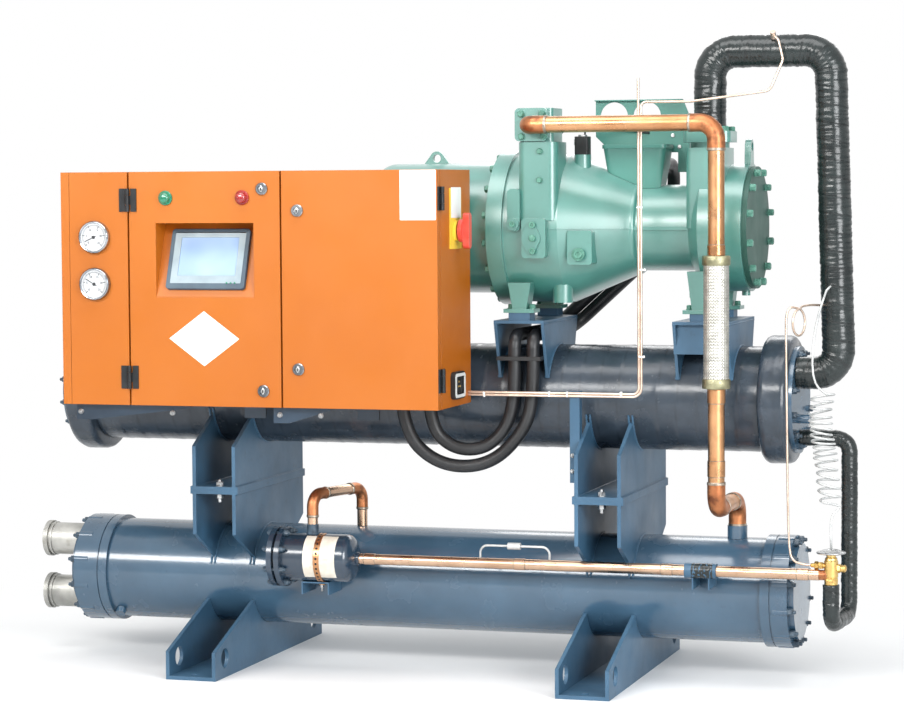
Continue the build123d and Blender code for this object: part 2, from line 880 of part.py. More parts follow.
with BuildPart() as gland_plate:
    top = comp_z + plate_rise
    low = term_top - 2 * term_lid
    with BuildSketch(Plane.XZ.offset(-plate_y)) as tray:
        with BuildLine():
            Polyline((term_x0 - plate_left, top), (term_x1 + plate_right, top),
                     (term_x1 + plate_wing, comp_z + plate_wing_high),
                     (term_x1 + plate_wing, comp_z + plate_wing_low),
                     (term_x1 + 10, comp_z + plate_wing_low), (term_x1 + 10, low),
                     (term_x0, low), (term_x0 - plate_left, low + plate_left_shoulder),
                     close=True)
        make_face()
        for step in (0, 1):
            with Locations((term_x0 - plate_left + plate_hole_in + step * plate_hole_step,
                            top - plate_hole_drop)):
                Circle(plate_hole_r, mode=Mode.SUBTRACT)
    extrude(to_extrude=tray.sketch, amount=plate_t)
    block(term_x0 - plate_left, term_x1 + plate_right, plate_y - plate_t - plate_lip,
          plate_y - plate_t, top - plate_t, top)
    block(term_x1 + plate_wing - plate_t, term_x1 + plate_wing, plate_y - plate_t - 30,
          plate_y - plate_t, comp_z + plate_wing_low, comp_z + plate_wing_high)
    block(term_x0 + 10, term_x1 - 10, term_y1 + 3, plate_y - plate_t, low,
          low + 12)

with BuildPart() as oil_sensor:
    sensor_z = comp_z + sensor_boss_rise
    column(sensor_x - sensor_w / 2, sensor_x + sensor_w / 2, sensor_y - sensor_w / 2,
           sensor_y + sensor_w / 2, sensor_z, sensor_z + sensor_h, 6)

with BuildPart() as discharge_valve:
    column(neck_x - neck_w / 2 + 4, neck_x + neck_w / 2 - 10, valve_face_y + valve_t - LAP,
           neck_y0 + neck_d - 12, neck_top, hot_z + valve_h / 2, valve_round)
    front_pad(valve_x - valve_w / 2, valve_x + valve_w / 2, hot_z - valve_h / 2 + valve_drop,
              hot_z + valve_h / 2, valve_face_y, valve_face_y + valve_t, valve_round)

with BuildPart() as suction_valve:
    flange_z = suct_top + suct_neck_h
    post(suct_x, suct_y, suct_top, flange_z + LAP, suct_neck_r)
    column(suct_x - suct_flange_w / 2, suct_x + suct_flange_w / 2, suct_y - suct_flange_d / 2,
           suct_y + suct_flange_d / 2, flange_z, flange_z + suct_flange_t, suct_round)

# Pipes
with BuildPart() as discharge_pipe:
    pipe([(valve_x, valve_face_y, hot_z), (valve_x, hot_y, hot_z), (hot_x, hot_y, hot_z),
          (hot_x, hot_y, hose_top)], (46, hot_bend), hot_r)
    pipe([(hot_x, hot_y, hose_bottom), (hot_x, hot_y, hot_low_z), (gas_stub_x, 0, hot_low_z),
          (gas_stub_x, 0, cond_z + cond_r + gas_stub_h)], (hot_bend, hot_bend), hot_r)

with BuildPart() as braided_hose:
    post(hot_x, hot_y, hose_bottom, hose_top, hose_r)
    post(hot_x, hot_y, hose_bottom, hose_bottom + hose_collar_h, hose_collar_r)
    post(hot_x, hot_y, hose_top - hose_collar_h, hose_top, hose_collar_r)

suction_top = suct_top + suct_neck_h + suct_flange_t
with BuildPart() as suction_pipe:
    pipe([(suct_x, suct_y, suction_top), (suct_x, suct_y, suction_top_z),
          (suction_leg_top_x, suct_y, suction_top_z), (suction_leg_x, suct_y, suction_out_z),
          (cover_face, suct_y, suction_out_z)],
         (suction_bend, suction_bend, suction_low_bend), suction_r)

with BuildPart() as liquid_feed_pipe:
    pipe([(cover_face, feed_y, feed_z), (feed_x, feed_y, feed_z), (feed_x, feed_y, feed_low_z),
          (txv_x, line_y, feed_low_z), (txv_x, line_y, line_z - txv_low)],
         (feed_bend, feed_low_bend, feed_low_bend), feed_r)

with BuildPart() as expansion_valve:
    post(txv_x, line_y, line_z - txv_low, line_z + txv_high, txv_body_r)
    barrel(txv_x - txv_port_reach, txv_x, line_y, line_z, txv_port_r)
    barrel(txv_x, txv_x + txv_cap_reach, line_y, line_z + txv_cap_rise, txv_cap_r)
    neck_z = line_z + txv_high
    post(txv_x, line_y, neck_z - LAP, neck_z + txv_neck_h, txv_neck_r)
    head_z = neck_z + txv_neck_h
    with BuildSketch(Plane.XZ.offset(-line_y)) as power_head:
        with BuildLine():
            Polyline((txv_x, head_z), (txv_x + txv_neck_r, head_z),
                     (txv_x + txv_head_r, head_z + txv_rim_h),
                     (txv_x + txv_head_r, head_z + 2 * txv_rim_h),
                     (txv_x + txv_neck_r, head_z + txv_head_h), (txv_x, head_z + txv_head_h),
                     close=True)
        make_face()
    revolve(profiles=power_head.sketch, axis=Axis((txv_x, line_y, 0), (0, 0, 1)))

with BuildPart() as filter_drier:
    cover_x = drier_x0 + drier_flange_t
    ring_x = cover_x + drier_gasket_t
    barrel(drier_x0, cover_x, line_y, line_z, drier_flange_r)
    barrel(cover_x - LAP, ring_x + LAP, line_y, line_z, drier_r)
    barrel(ring_x, ring_x + drier_flange_t, line_y, line_z, drier_flange_r)
    with BuildSketch(Plane.XZ.offset(-line_y)) as shell:
        with BuildLine():
            Line((ring_x, line_z), (ring_x, line_z + drier_r))
            Line((ring_x, line_z + drier_r), (drier_x1, line_z + drier_r))
            EllipticalCenterArc((drier_x1, line_z), drier_dish, drier_r, arc_size=90)
            Line((drier_x1 + drier_dish, line_z), (ring_x, line_z))
        make_face()
    revolve(profiles=shell.sketch, axis=Axis((0, line_y, line_z), (1, 0, 0)))
    barrel(drier_x1, drier_x1 + drier_dish + drier_nozzle, line_y, line_z,
           line_r + drier_nozzle_wall)

with BuildPart() as liquid_pipes:
    barrel(drier_x1 + drier_dish + drier_nozzle, txv_x - txv_port_reach, line_y, line_z, line_r)
    pipe([(drier_cond_x, 0, cond_z + cond_r + SEAT), (drier_cond_x, 0, drier_loop_z),
          (drier_in_x, line_y, drier_loop_z), (drier_in_x, line_y, line_z + drier_r - LAP)],
         (line_bend, line_bend), line_r)
    barrel(drier_x0, drier_x1, line_y, line_z, drier_r + SEAT, mode=Mode.SUBTRACT)


def shelf(x, width, y0, z_top, height):
    """Open channel bracket that reaches from under a pipe to the condenser."""
    block(x - width / 2, x + width / 2, y0, 0, z_top - height, z_top)
    block(x - width / 2 + drier_shelf_t, x + width / 2 - drier_shelf_t, y0 - LAP, LAP,
          z_top - height - LAP, z_top - drier_shelf_t, mode=Mode.SUBTRACT)
    barrel(cond_x0, cond_x1, 0, cond_z, cond_r + SEAT, mode=Mode.SUBTRACT)


with BuildPart() as pipe_brackets:
    shelf(drier_shelf_x, drier_shelf_w, line_y - 20, line_z - drier_r - SEAT, drier_shelf_h)
    shelf(clamp_x, clamp_leg_w, line_y - 6, line_z - line_r, drier_shelf_h)
    barrel(clamp_x - clamp_w / 2, clamp_x + clamp_w / 2, line_y, line_z, line_r + clamp_t)
    barrel(clamp_x - clamp_w, clamp_x + clamp_w, line_y, line_z, line_r + SEAT,
           mode=Mode.SUBTRACT)
    rail_x1 = saddle_right_x - saddle_w / 2 + saddle_inset
    rail_y = gauge_tube_y + gauge_tube_r + SEAT
    rail_z = evap_z - rail_low
    block(rail_x1 - rail_w, rail_x1, rail_y, rail_y + rail_t, rail_z, rail_z + rail_len)
    block(rail_x1 - rail_t, rail_x1, rail_y, rail_y + rail_w, rail_z, rail_z + rail_len)

with BuildPart() as cabinet_brackets:
    for x in (cab_bracket_left, cab_bracket_right):
        x0 = x - cab_bracket_w / 2
        x1 = x + cab_bracket_w / 2
        block(x0, x1, cab_yb, cab_yb + cab_bracket_t, evap_z - cab_bracket_low,
              evap_z - cab_bracket_low + cab_bracket_h)
        block(x0, x1, cab_yb + cab_bracket_t - LAP, 0, evap_z - cab_bracket_arm / 2,
              evap_z + cab_bracket_arm / 2)
    web_y = cab_yf + cab_web_back
    web_top = cab_z0 - SEAT
    for start, width in cab_web_spans:
        x0 = cab_x0 + start
        block(x0, x0 + width, web_y - LAP, web_y + cab_web_flange, web_top - cab_web_t, web_top)
        with BuildSketch(Plane.XZ.offset(-web_y)) as web:
            with BuildLine():
                Polyline((x0, web_top), (x0, web_top - cab_web_high),
                         (x0 + cab_web_high, web_top - cab_web_high),
                         (x0 + width, web_top - cab_web_low), (x0 + width, web_top), close=True)
            make_face()
        extrude(to_extrude=web.sketch, amount=cab_web_t)
        block(x0, x0 + cab_web_t, web_y - LAP, 0, web_top - cab_web_high, web_top)
    barrel(-evap_half, evap_half, 0, evap_z, evap_r + SEAT, mode=Mode.SUBTRACT)

# Small tubes
service_x = suct_x + service_in
service_reach = suction_r + service_len / 2 - 2 * LAP
service_y = suct_y - service_reach * cos(radians(45))
service_z = suction_top_z + service_reach * sin(radians(45))
with BuildPart() as gauge_tubes:
    short_top = gauge_tube_z + gauge_tube_len - gauge_tube_short
    long_top = short_top + gauge_tube_step + gauge_tube_short
    pipe([(cab_x1 + SEAT, gauge_tube_y, gauge_tube_z),
          (gauge_tube_x, gauge_tube_y, gauge_tube_z),
          (gauge_tube_x, gauge_tube_y, short_top - 14),
          (760, -180, short_top - 14), (service_x - 3, -125, short_top + 12),
          (service_x + 28, service_y - 18, service_z - 63),
          (service_x + 16, service_y - 14, service_z - 14), (service_x, service_y, service_z)],
         (gauge_tube_bend, 14, 60, 24, 14, 12), gauge_tube_r)
    with Locations(Location((service_x, service_y, service_z), (45, 0, 0))):
        Cylinder(service_r, service_len)
    pipe([(suct_x, suct_y, suction_top_z), (suction_leg_top_x, suct_y, suction_top_z)], 0,
         suction_r + SEAT, mode=Mode.SUBTRACT)
    pipe([(cab_x1 + SEAT, gauge_tube_y, gauge_tube_z + gauge_tube_step),
          (gauge_tube_x - gauge_tube_step, gauge_tube_y, gauge_tube_z + gauge_tube_step),
          (gauge_tube_x - gauge_tube_step, gauge_tube_y, long_top)],
         gauge_tube_bend - gauge_tube_step, gauge_tube_r)

with BuildPart() as capillary_tubes:
    tap_z = line_z + equalizer_tap
    equalizer_z = evap_z + equalizer_top
    pipe([(txv_x - txv_body_r - SEAT, line_y, tap_z), (equalizer_x, line_y, tap_z),
          (equalizer_x - equalizer_lean, equalizer_y, equalizer_z - equalizer_drop),
          (equalizer_x - equalizer_lean, suct_y, equalizer_z),
          (suction_leg_x - suction_r + 2 * LAP, suct_y, equalizer_z)],
         (20, 20, 14), equalizer_r)
    coil_top = capillary_coil_z0 + capillary_coil_h
    post(capillary_coil_x, capillary_coil_y, capillary_coil_z0, coil_top, capillary_coil_r)
    pipe([(txv_x, line_y, line_z + txv_high + txv_neck_h + txv_head_h),
          (txv_x, line_y, capillary_coil_z0 - capillary_lead_low),
          (capillary_coil_x, capillary_coil_y, capillary_coil_z0 - capillary_lead_high),
          (capillary_coil_x, capillary_coil_y, capillary_coil_z0 + LAP)],
         (20, 8), capillary_r)
    pipe([(capillary_coil_x, capillary_coil_y, coil_top - LAP),
          (capillary_coil_x, capillary_coil_y, evap_z + capillary_top - capillary_top_drop),
          (suction_leg_x, suct_y, evap_z + capillary_top)], 30, capillary_r)
    pipe([(suction_leg_top_x, suct_y, suction_top_z), (suction_leg_x, suct_y, suction_out_z)],
         0, suction_r + SEAT, mode=Mode.SUBTRACT)

with BuildPart() as bypass_tube:
    bypass_z = line_z + bypass_rise
    foot_z = line_z + line_r + SEAT
    bypass_x1 = bypass_x0 + bypass_w
    pipe([(bypass_x0, line_y, foot_z), (bypass_x0, line_y, bypass_z),
          (bypass_x1, line_y, bypass_z), (bypass_x1, line_y, foot_z)], (20, 20), bypass_r)
    barrel(bypass_body_x - bypass_body_w / 2, bypass_body_x + bypass_body_w / 2, line_y,
           bypass_z, bypass_body_r)

# Control cabinet
with BuildPart() as cabinet_case:
    block(cab_x0, cab_x1, case_yf, cab_yb, cab_z0, cab_z1)
    block(cab_x0 + sheet, cab_x1 - sheet, case_yf + sheet, cab_yb - sheet, cab_z0 + sheet,
          cab_z1 - sheet, mode=Mode.SUBTRACT)
    for x0, x1 in ((cab_x0 + frame_w, seam_gauge - frame_w / 2),
                   (seam_gauge + frame_w / 2, seam_doors - frame_w / 2),
                   (seam_doors + frame_w / 2, cab_x1 - frame_w)):
        block(x0, x1, case_yf - LAP, case_yf + sheet + LAP, cab_z0 + frame_w,
              cab_z1 - frame_w, mode=Mode.SUBTRACT)
    block(cab_x0, cab_x0 + post_w, cab_yf, case_yf + LAP, cab_z0, cab_z1)
    block(cab_x0 + sheet, cab_x0 + post_w + LAP, cab_yf + sheet, case_yf + LAP / 2,
          cab_z0 + sheet, cab_z1 - sheet, mode=Mode.SUBTRACT)
    for x, y, z in (cable_a[0], cable_b[0]):
        post(x, y, cab_z0 - gland_h, cab_z0 + LAP, gland_r)
        post(x, y, cab_z0 - gland_h - LAP, cab_z0 + sheet + LAP, cable_r + SEAT,
             mode=Mode.SUBTRACT)


def pan(x0, x1, y1):
    """Folded sheet front with returns to the depth y1."""
    block(x0, x1, cab_yf, y1, cab_z0, cab_z1)
    block(x0 + sheet, x1 - sheet, cab_yf + sheet, y1 + LAP, cab_z0 + sheet, cab_z1 - sheet,
          mode=Mode.SUBTRACT)


with BuildPart() as gauge_panel:
    pan(cab_x0 + post_w + LAP, seam_gauge - DOOR_GAP / 2, case_yf)
    for rise in (gauge_low_rise, gauge_high_rise):
        spigot(gauge_x, cab_yf - LAP, cab_yf + sheet + LAP, cab_z0 + rise, gauge_back_r + LAP,
               mode=Mode.SUBTRACT)

recess_back = cab_yf + recess_d
recess_outline = [(cab_yf, recess_z0), (cab_yf, recess_z1), (recess_back, recess_z1)]
recess_outer = [
    (cab_yf + LAP / 2, recess_z0 - recess_sill), (cab_yf + LAP / 2, recess_z1 + sheet),
    (recess_back + sheet, recess_z1 + sheet), (recess_back + sheet, recess_z1 - recess_brow),
]
with BuildPart() as hmi_door:
    pan(seam_gauge + DOOR_GAP / 2, seam_doors - DOOR_GAP / 2, cab_yf + door_depth)
    side_plate(recess_x0 - sheet, recess_x1 + sheet, recess_outer)
    side_plate(recess_x0, recess_x1, recess_outline, mode=Mode.SUBTRACT)
    block(recess_x0, recess_x1, cab_yf - LAP, cab_yf + LAP, recess_z0, recess_z1,
          mode=Mode.SUBTRACT)

with BuildPart() as power_door:
    pan(seam_doors + DOOR_GAP / 2, cab_x1, cab_yf + door_depth)

hmi_tilt = degrees(atan2(recess_d, recess_h))
hmi_mid = ((recess_x0 + recess_x1) / 2, cab_yf + recess_d / 2, (recess_z0 + recess_z1) / 2)
with BuildPart() as hmi_panel:
    with Locations(Location(hmi_mid, (-hmi_tilt, 0, 0))):
        with Locations((0, -hmi_t / 2 - SEAT, 0)):
            Box(hmi_w, hmi_t, hmi_h)
    chamfer(hmi_panel.faces().sort_by(Axis.Y)[0].edges(), length=3)

with BuildPart() as pressure_gauges:
    for rise in (gauge_low_rise, gauge_high_rise):
        spigot(gauge_x, cab_yf - gauge_t, cab_yf, cab_z0 + rise, gauge_r)
        spigot(gauge_x, cab_yf, cab_yf + gauge_back_t, cab_z0 + rise, gauge_back_r)

with BuildPart() as green_lamp:
    spigot(seam_gauge + lamp_green_in, cab_yf - lamp_t, cab_yf, cab_z0 + lamp_rise, lamp_r)

with BuildPart() as red_lamp:
    spigot(seam_gauge + lamp_red_in, cab_yf - lamp_t, cab_yf, cab_z0 + lamp_rise, lamp_r)

with BuildPart() as hmi_door_locks:
    for rise in hmi_lock_rises:
        spigot(seam_doors - lock_left_in, cab_yf - lock_t, cab_yf, cab_z0 + rise, lock_r)

with BuildPart() as power_door_locks:
    for rise in power_lock_rises:
        spigot(seam_doors + lock_right_in, cab_yf - lock_t, cab_yf, cab_z0 + rise, lock_r)

# Hinges: the fixed halves carry the pins, the moving halves turn round them.
hmi_axis_y = cab_yf - hinge_r
power_axis_x = cab_x1 + hinge_r
power_axis_y = (cab_yf + door_depth + case_yf) / 2
knuckle = hinge_h / 5
leaf_in = hinge_r + 2.0
leaf_out = leaf_in + hinge_leaf_w


def outer_spans(z):
    """Heights of the two outer knuckles of a hinge."""
    inner = knuckle + hinge_play
    return (z - hinge_h / 2, z - inner), (z + inner, z + hinge_h / 2)


with BuildPart() as hinge_leaves:
    for rise in hinge_rises:
        z = cab_z0 + rise
        block(seam_gauge - leaf_out, seam_gauge - leaf_in, cab_yf - hinge_leaf_t, cab_yf,
              z - hinge_h / 2, z + hinge_h / 2)
        block(cab_x1, cab_x1 + hinge_leaf_t, power_axis_y + leaf_in, power_axis_y + leaf_out,
              z - hinge_h / 2, z + hinge_h / 2)
        for low, high in outer_spans(z):
            block(seam_gauge - leaf_in, seam_gauge - DOOR_GAP / 2 - LAP,
                  cab_yf - hinge_leaf_t, cab_yf, low, high)
            block(cab_x1, cab_x1 + hinge_leaf_t, power_axis_y + hinge_leaf_t,
                  power_axis_y + leaf_in, low, high)
            post(seam_gauge, hmi_axis_y, low, high, hinge_r)
            post(power_axis_x, power_axis_y, low, high, hinge_r)
        for x, y in ((seam_gauge, hmi_axis_y), (power_axis_x, power_axis_y)):
            post(x, y, z - hinge_h / 2, z + hinge_h / 2, hinge_pin_r)

with BuildPart() as hmi_door_hinges:
    for rise in hinge_rises:
        z = cab_z0 + rise
        block(seam_gauge + leaf_in, seam_gauge + leaf_out, cab_yf - hinge_leaf_t, cab_yf,
              z - hinge_h / 2, z + hinge_h / 2)
        block(seam_gauge + DOOR_GAP / 2 + LAP, seam_gauge + leaf_in, cab_yf - hinge_leaf_t,
              cab_yf, z - knuckle, z + knuckle)
        post(seam_gauge, hmi_axis_y, z - knuckle, z + knuckle, hinge_r)
        post(seam_gauge, hmi_axis_y, z - hinge_h, z + hinge_h, hinge_pin_r + PIN_PLAY,
             mode=Mode.SUBTRACT)

with BuildPart() as power_door_hinges:
    for rise in hinge_rises:
        z = cab_z0 + rise
        block(cab_x1, cab_x1 + hinge_leaf_t, cab_yf + 2, power_axis_y - leaf_in,
              z - hinge_h / 2, z + hinge_h / 2)
        block(cab_x1, cab_x1 + hinge_leaf_t, power_axis_y - leaf_in,
              power_axis_y - hinge_leaf_t, z - knuckle, z + knuckle)
        post(power_axis_x, power_axis_y, z - knuckle, z + knuckle, hinge_r)
        post(power_axis_x, power_axis_y, z - hinge_h, z + hinge_h, hinge_pin_r + PIN_PLAY,
             mode=Mode.SUBTRACT)

# Main switch on the cabinet's right side
with BuildPart() as switch_base:
    block(cab_x1, cab_x1 + switch_plate_t, switch_y - switch_plate_w / 2,
          switch_y + switch_plate_w / 2, switch_z - switch_plate_low,
          switch_z - switch_plate_low + switch_plate_h)
    collar_x = cab_x1 + switch_plate_t + switch_collar_t
    barrel(cab_x1 + LAP, collar_x, switch_y, switch_z, switch_collar_r)
    barrel(cab_x1 + switch_plate_t, collar_x + LAP, switch_y, switch_z,
           switch_shaft_r + PIN_PLAY, mode=Mode.SUBTRACT)

with BuildPart() as switch_handle:
    disc_x = cab_x1 + switch_plate_t + switch_collar_t + DOOR_GAP
    barrel(cab_x1 + switch_plate_t + LAP, disc_x + LAP, switch_y, switch_z, switch_shaft_r)
    barrel(disc_x, disc_x + switch_disc_t, switch_y, switch_z, switch_disc_r)
    with BuildSketch(Plane.YZ.offset(disc_x + switch_disc_t)) as grip:
        with Locations((switch_y, switch_z)):
            SlotOverall(2 * switch_grip_half, switch_grip_w, rotation=90)
    extrude(to_extrude=grip.sketch, amount=switch_grip_t)

with BuildPart() as service_socket:
    with BuildSketch(Plane.YZ.offset(cab_x1)) as socket_frame:
        with Locations((switch_y, cab_z0 + socket_rise + socket_h / 2)):
            RectangleRounded(socket_w, socket_h, socket_round)
    extrude(to_extrude=socket_frame.sketch, amount=socket_t)
    with BuildSketch(Plane.YZ.offset(cab_x1 + socket_t)) as socket_well:
        with Locations((switch_y, cab_z0 + socket_rise + socket_h / 2)):
            RectangleRounded(socket_w - 16, socket_h - 16, socket_round - 6)
    extrude(to_extrude=socket_well.sketch, amount=-socket_t / 2, mode=Mode.SUBTRACT)

# Switchgear on a mounting plate inside the cabinet
with BuildPart() as switchgear:
    back_y = cab_yb - sheet
    plate_back = back_y - gear_plate_off
    plate_front = plate_back - gear_plate_t
    plate_x0 = cab_x0 + sheet + gear_plate_edge
    plate_x1 = cab_x1 - sheet - gear_plate_edge
    plate_z0 = cab_z0 + gear_plate_low
    plate_z1 = cab_z1 - gear_plate_edge
    block(plate_x0, plate_x1, plate_front, plate_back, plate_z0, plate_z1)
    for x in (plate_x0 + gear_plate_edge, plate_x1 - gear_plate_edge):
        for z in (plate_z0 + gear_plate_edge, plate_z1 - gear_plate_edge):
            spigot(x, plate_back - LAP, back_y, z, gear_stud_r)
    for rise in gear_row_rises:
        row_z = cab_z0 + rise
        for i in range(gear_block_count):
            x = gear_row_x0 + i * gear_block_step
            block(x, x + gear_block_w, plate_front - gear_row_d, plate_front + LAP / 2,
                  row_z - gear_row_h / 2, row_z + gear_row_h / 2)
    for x in (plate_x0 + gear_duct_w, seam_doors + gear_duct_w):
        block(x, x + gear_duct_w, plate_front - gear_duct_d, plate_front + LAP / 2,
              plate_z0 + gear_duct_w, plate_z1 - gear_duct_w)
    block(main_terminal_x - main_terminal_w / 2, main_terminal_x + main_terminal_w / 2,
          plate_front - gear_row_d, plate_front + LAP / 2, cable_start_z + SEAT,
          cable_start_z + main_terminal_h)


# Cables that hang from the cabinet to the left pedestal
def corner_radii(points):
    """Arc radius for each corner: 0.45 of the shorter run over the tangent of half the turn."""
    radii = []
    for before, here, after in zip(points, points[1:], points[2:]):
        run_in = Vector(*here) - Vector(*before)
        run_out = Vector(*after) - Vector(*here)
        turn = radians(run_in.get_angle(run_out))
        radii.append(0.45 * min(run_in.length, run_out.length) / tan(turn / 2))
    return radii


with BuildPart() as power_cable_a:
    pipe(cable_a, corner_radii(cable_a), cable_r)

with BuildPart() as power_cable_b:
    pipe(cable_b, corner_radii(cable_b), cable_r)

# Motor cables, held from the rail to the terminal box
with BuildPart() as motor_cables:
    over_z = evap_z + evap_r + cable_r + 13
    rail_top = cable_rail_z + cable_rail_h + SEAT
    for step, start in ((0, cable_a[-1]), (1, cable_b[-1])):
        turn_x = motor_cable_turn_x - motor_cable_step * step
        entry_x = motor_cable_entry_x - motor_cable_step * step
        pipe([(start[0], start[1], rail_top), (start[0], start[1], over_z),
              (turn_x, motor_cable_back, over_z),
              (entry_x - 14, motor_cable_back, comp_z - 30),
              (entry_x, motor_cable_back, term_top - 50),
              (entry_x, term_y1 + gland_h + SEAT, term_top - 50)],
             (32, motor_cable_bend, motor_cable_bend, motor_cable_bend), cable_r)

pieces = {
    "condenser_shell": condenser_shell,
    "condenser_head_left": condenser_head_left,
    "condenser_head_right": condenser_head_right,
    "condenser_water_stubs": condenser_water_stubs,
    "condenser_fittings": condenser_fittings,
    "evaporator_shell": evaporator_shell,
    "evaporator_flanges": evaporator_flanges,
    "evaporator_covers": evaporator_covers,
    "evaporator_water_stubs": evaporator_water_stubs,
    "feet": feet,
    "foot_side_plates": foot_side_plates,
    "lower_saddles": lower_saddles,
    "upper_saddles": upper_saddles,
    "pedestals": pedestals,
    "cable_rail": cable_rail,
    "oil_separator": oil_separator,
    "rotor_housing": rotor_housing,
    "motor_housing": motor_housing,
    "motor_end_cover": motor_end_cover,
    "lifting_eyes": lifting_eyes,
    "terminal_box": terminal_box,
    "gland_plate": gland_plate,
    "oil_sensor": oil_sensor,
    "discharge_valve": discharge_valve,
    "suction_valve": suction_valve,
    "discharge_pipe": discharge_pipe,
    "braided_hose": braided_hose,
    "suction_pipe": suction_pipe,
    "liquid_feed_pipe": liquid_feed_pipe,
    "expansion_valve": expansion_valve,
    "filter_drier": filter_drier,
    "liquid_pipes": liquid_pipes,
    "pipe_brackets": pipe_brackets,
    "cabinet_brackets": cabinet_brackets,
    "gauge_tubes": gauge_tubes,
    "capillary_tubes": capillary_tubes,
    "bypass_tube": bypass_tube,
    "cabinet_case": cabinet_case,
    "gauge_panel": gauge_panel,
    "hmi_door": hmi_door,
    "power_door": power_door,
    "hmi_panel": hmi_panel,
    "pressure_gauges": pressure_gauges,
    "green_lamp": green_lamp,
    "red_lamp": red_lamp,
    "hmi_door_locks": hmi_door_locks,
    "power_door_locks": power_door_locks,
    "hinge_leaves": hinge_leaves,
    "hmi_door_hinges": hmi_door_hinges,
    "power_door_hinges": power_door_hinges,
    "switch_base": switch_base,
    "switch_handle": switch_handle,
    "service_socket": service_socket,
    "switchgear": switchgear,
    "power_cable_a": power_cable_a,
    "power_cable_b": power_cable_b,
    "motor_cables": motor_cables,
}

os.makedirs("parts", exist_ok=True)
for label, piece in pieces.items():
    piece.part.label = label
    export_step(piece.part, f"parts/{label}.step")
print("cable a radii", [round(r) for r in corner_radii(cable_a)])
print("cable b radii", [round(r) for r in corner_radii(cable_b)])
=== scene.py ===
"""Water-cooled screw chiller: materials, lights, camera and fine pieces round the CAD frame."""
from math import atan2, cos, pi, radians, sin, sqrt, tan, tau

import bmesh
import bpy
from mathutils import Matrix, Vector, noise


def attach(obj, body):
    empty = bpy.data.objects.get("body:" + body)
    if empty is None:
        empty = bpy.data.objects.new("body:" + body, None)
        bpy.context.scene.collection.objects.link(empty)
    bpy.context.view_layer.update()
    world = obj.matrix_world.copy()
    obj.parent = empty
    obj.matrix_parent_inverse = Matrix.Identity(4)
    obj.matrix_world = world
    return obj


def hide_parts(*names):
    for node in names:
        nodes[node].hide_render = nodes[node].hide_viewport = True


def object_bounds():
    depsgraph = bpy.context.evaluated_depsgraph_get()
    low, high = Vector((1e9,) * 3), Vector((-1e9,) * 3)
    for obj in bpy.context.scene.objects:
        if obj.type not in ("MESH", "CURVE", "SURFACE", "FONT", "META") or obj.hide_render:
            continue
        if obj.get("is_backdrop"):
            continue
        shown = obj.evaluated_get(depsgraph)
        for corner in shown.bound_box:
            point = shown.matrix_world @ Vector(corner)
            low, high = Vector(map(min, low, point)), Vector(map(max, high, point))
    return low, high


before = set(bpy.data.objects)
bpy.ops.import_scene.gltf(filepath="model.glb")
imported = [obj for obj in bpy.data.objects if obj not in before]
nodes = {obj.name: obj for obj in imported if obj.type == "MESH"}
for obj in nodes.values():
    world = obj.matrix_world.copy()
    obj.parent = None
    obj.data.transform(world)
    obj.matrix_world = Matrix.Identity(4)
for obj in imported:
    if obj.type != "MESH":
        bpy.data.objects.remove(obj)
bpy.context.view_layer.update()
scene = bpy.context.scene
MM = 0.001

# Places in millimetres, as in the CAD frame
COND_Z, EVAP_Z, COMP_Z = 235, 735, 1180  # axes of condenser, evaporator and compressor
EVAP_HALF = 925
EVAP_R = 138
FLANGE_R, FLANGE_T = 168, 75
SADDLES_X = (-519.5, 534.0)
SADDLE_HALF = 256
PEDESTALS = ((235, 135), (710, 146))     # left edge and width
SUCTION_Y = -56
HOSE_X, HOT_Y = 842, -256                # braided hose and hot-gas pipe
LINE_Y, LINE_Z = -212, 310               # liquid line with the drier
VALVE_X = 1126
DOOR_Y = -464                            # front of the doors
SIDE_Y = -313                            # middle of the cabinet's right side
GAUGE_X, GAUGES_Z = -761, (1165, 1043)
UP, DOWN, FRONT = (0, 0, 1), (0, 0, -1), (0, -1, 0)
LEFT, RIGHT = (-1, 0, 0), (1, 0, 0)

# Camera, at the photograph's place and angle
YAW, PITCH, ROLL = 0.3, -0.0626, -0.0064
ahead = Vector((-sin(YAW) * cos(PITCH), cos(YAW) * cos(PITCH), sin(PITCH)))
level = Vector((cos(YAW), sin(YAW), 0))
over = level.cross(ahead)
right = level * cos(ROLL) + over * sin(ROLL)
upward = over * cos(ROLL) - level * sin(ROLL)
lens = bpy.data.cameras.new("camera")
lens.sensor_width = 36.0
lens.lens = 110.3
lens.clip_end = 100
camera = bpy.data.objects.new("camera", lens)
scene.collection.objects.link(camera)
camera.matrix_world = Matrix((
    (right.x, upward.x, -ahead.x, 2.2613), (right.y, upward.y, -ahead.y, -7.0928),
    (right.z, upward.z, -ahead.z, 1.2861), (0, 0, 0, 1)))
scene.camera = camera


# Materials
def linear(rgb):
    """Linear colour from 0-255 values."""
    out = []
    for c in rgb:
        c /= 255
        out.append(c / 12.92 if c <= 0.04045 else ((c + 0.055) / 1.055) ** 2.4)
    return (*out, 1.0)


